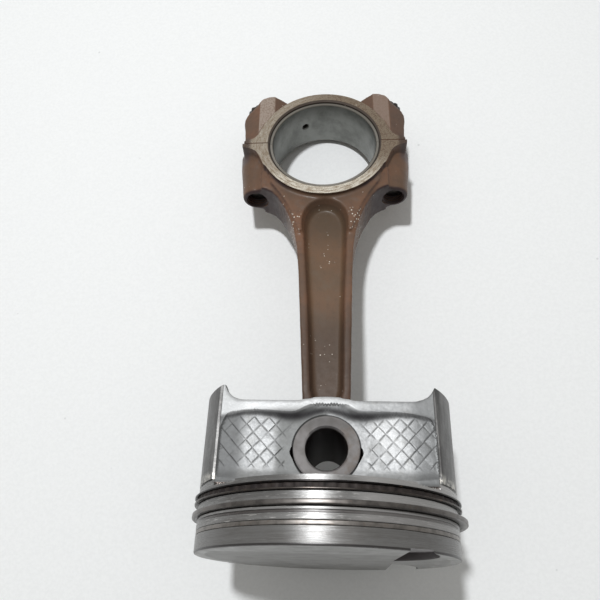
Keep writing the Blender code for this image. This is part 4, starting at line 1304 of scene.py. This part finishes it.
def build_key_light():
    place, target = Vector((-0.14, 0.155, 0.93)), Vector((0.0, 0.06, 0.0))
    data = bpy.data.lights.new("key", "AREA")
    data.shape = "DISK"
    data.size = 0.07
    data.energy = 6.35
    data.color = (0.975, 0.99, 1.0)
    light = bpy.data.objects.new("key", data)
    light.location = place
    light.rotation_euler = (target - place).to_track_quat("-Z", "Y").to_euler()
    scene.collection.objects.link(light)


def build_camera():
    eye = Vector((2.963, -16.255, 208.212)) * MM
    right = Vector((0.99814844, 0.03135967, -0.0521178)).normalized()
    ahead = Vector((-0.06072775, 0.46533161, -0.88305075)).normalized()
    up = right.cross(ahead).normalized()
    data = bpy.data.cameras.new("camera")
    data.lens = 36.1312
    data.sensor_width = 36.0
    data.clip_start = 0.005
    data.clip_end = 10.0
    camera = bpy.data.objects.new("camera", data)
    scene.collection.objects.link(camera)
    turn = Matrix((right, up, -ahead)).transposed().to_4x4()
    camera.matrix_world = Matrix.Translation(eye) @ turn
    scene.camera = camera


# ------------------------------------------------------------------ assembly
def finish(obj, body, replaced, material, sharp=32.0):
    """Paints and shades a piece, and ties it to the CAD frame. Edges over sharp degrees stay."""
    obj.data.materials.clear()
    obj.data.materials.append(material)
    obj.data.shade_smooth()
    obj.data.set_sharp_from_angle(angle=math.radians(sharp))
    if body == "piston":
        step = obj.modifiers.new("weighted", "WEIGHTED_NORMAL")
        step.keep_sharp = True
        step.weight = 60
    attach(obj, body)
    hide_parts(replaced)


piston = build_piston()
top_ring, second_ring, lower_rail, upper_rail = [build_ring(*row) for row in RINGS]
expander = build_expander()
pin = build_pin()
rod = build_rod()
cap = build_cap()
rod_shell = build_shell("shell_rod_side", (-JOINT, 40))
cap_shell = build_shell("shell_cap_side", (-40, JOINT))
cut(cap_shell, oil_drill())
bolt_left = build_bolt("bolt_left", -1)
bolt_right = build_bolt("bolt_right", 1)
for piece in (pin, rod, cap, rod_shell, cap_shell, bolt_left, bolt_right):
    swing(piece)

cast, forged, pin_steel, alloy, dark = (
    cast_aluminium(), varnished_forging(), ground_pin(), shell_alloy(), bolt_steel())
# name, tone of the running face, tone of the sides, radius of the running face
top_iron, iron, rail, rail_shaded = [dark_ring(*row) for row in (
    ("ring_top_iron", (0.24, 0.222, 0.208), (0.05, 0.045, 0.04), 41.95),
    ("ring_iron", (0.155, 0.143, 0.136), (0.035, 0.03, 0.028), 43.4),
    ("rail_steel", (0.085, 0.074, 0.068), (0.03, 0.026, 0.024), 42.9),
    # painted shade: the upper rail gets a near-black copy of the rail steel
    ("rail_steel_shaded", (0.016, 0.014, 0.014), (0.02, 0.018, 0.017), 42.9),
)]
spacer = spacer_steel()

finish(piston, "piston", "piston_body", cast, sharp=28.0)
finish(top_ring, "top_ring", "top_compression_ring", top_iron)
finish(second_ring, "second_ring", "second_compression_ring", iron)
finish(lower_rail, "oil_lower_rail", "oil_ring_lower_rail", rail)
finish(upper_rail, "oil_upper_rail", "oil_ring_upper_rail", rail_shaded)
finish(expander, "oil_expander", "oil_ring_expander", spacer, sharp=50.0)
finish(pin, "rod", "wrist_pin", pin_steel, sharp=12.0)
finish(rod, "rod", "connecting_rod", forged, sharp=34.0)
finish(cap, "rod", "bearing_cap", forged, sharp=34.0)
finish(rod_shell, "rod", "rod_bearing_shell", alloy)
finish(cap_shell, "rod", "cap_bearing_shell", alloy)
finish(bolt_left, "rod", "rod_bolt_left", dark, sharp=30.0)
finish(bolt_right, "rod", "rod_bolt_right", dark, sharp=30.0)

build_table()
build_world()
build_key_light()
build_camera()
scene.view_settings.view_transform = "Standard"

bpy.context.view_layer.update()
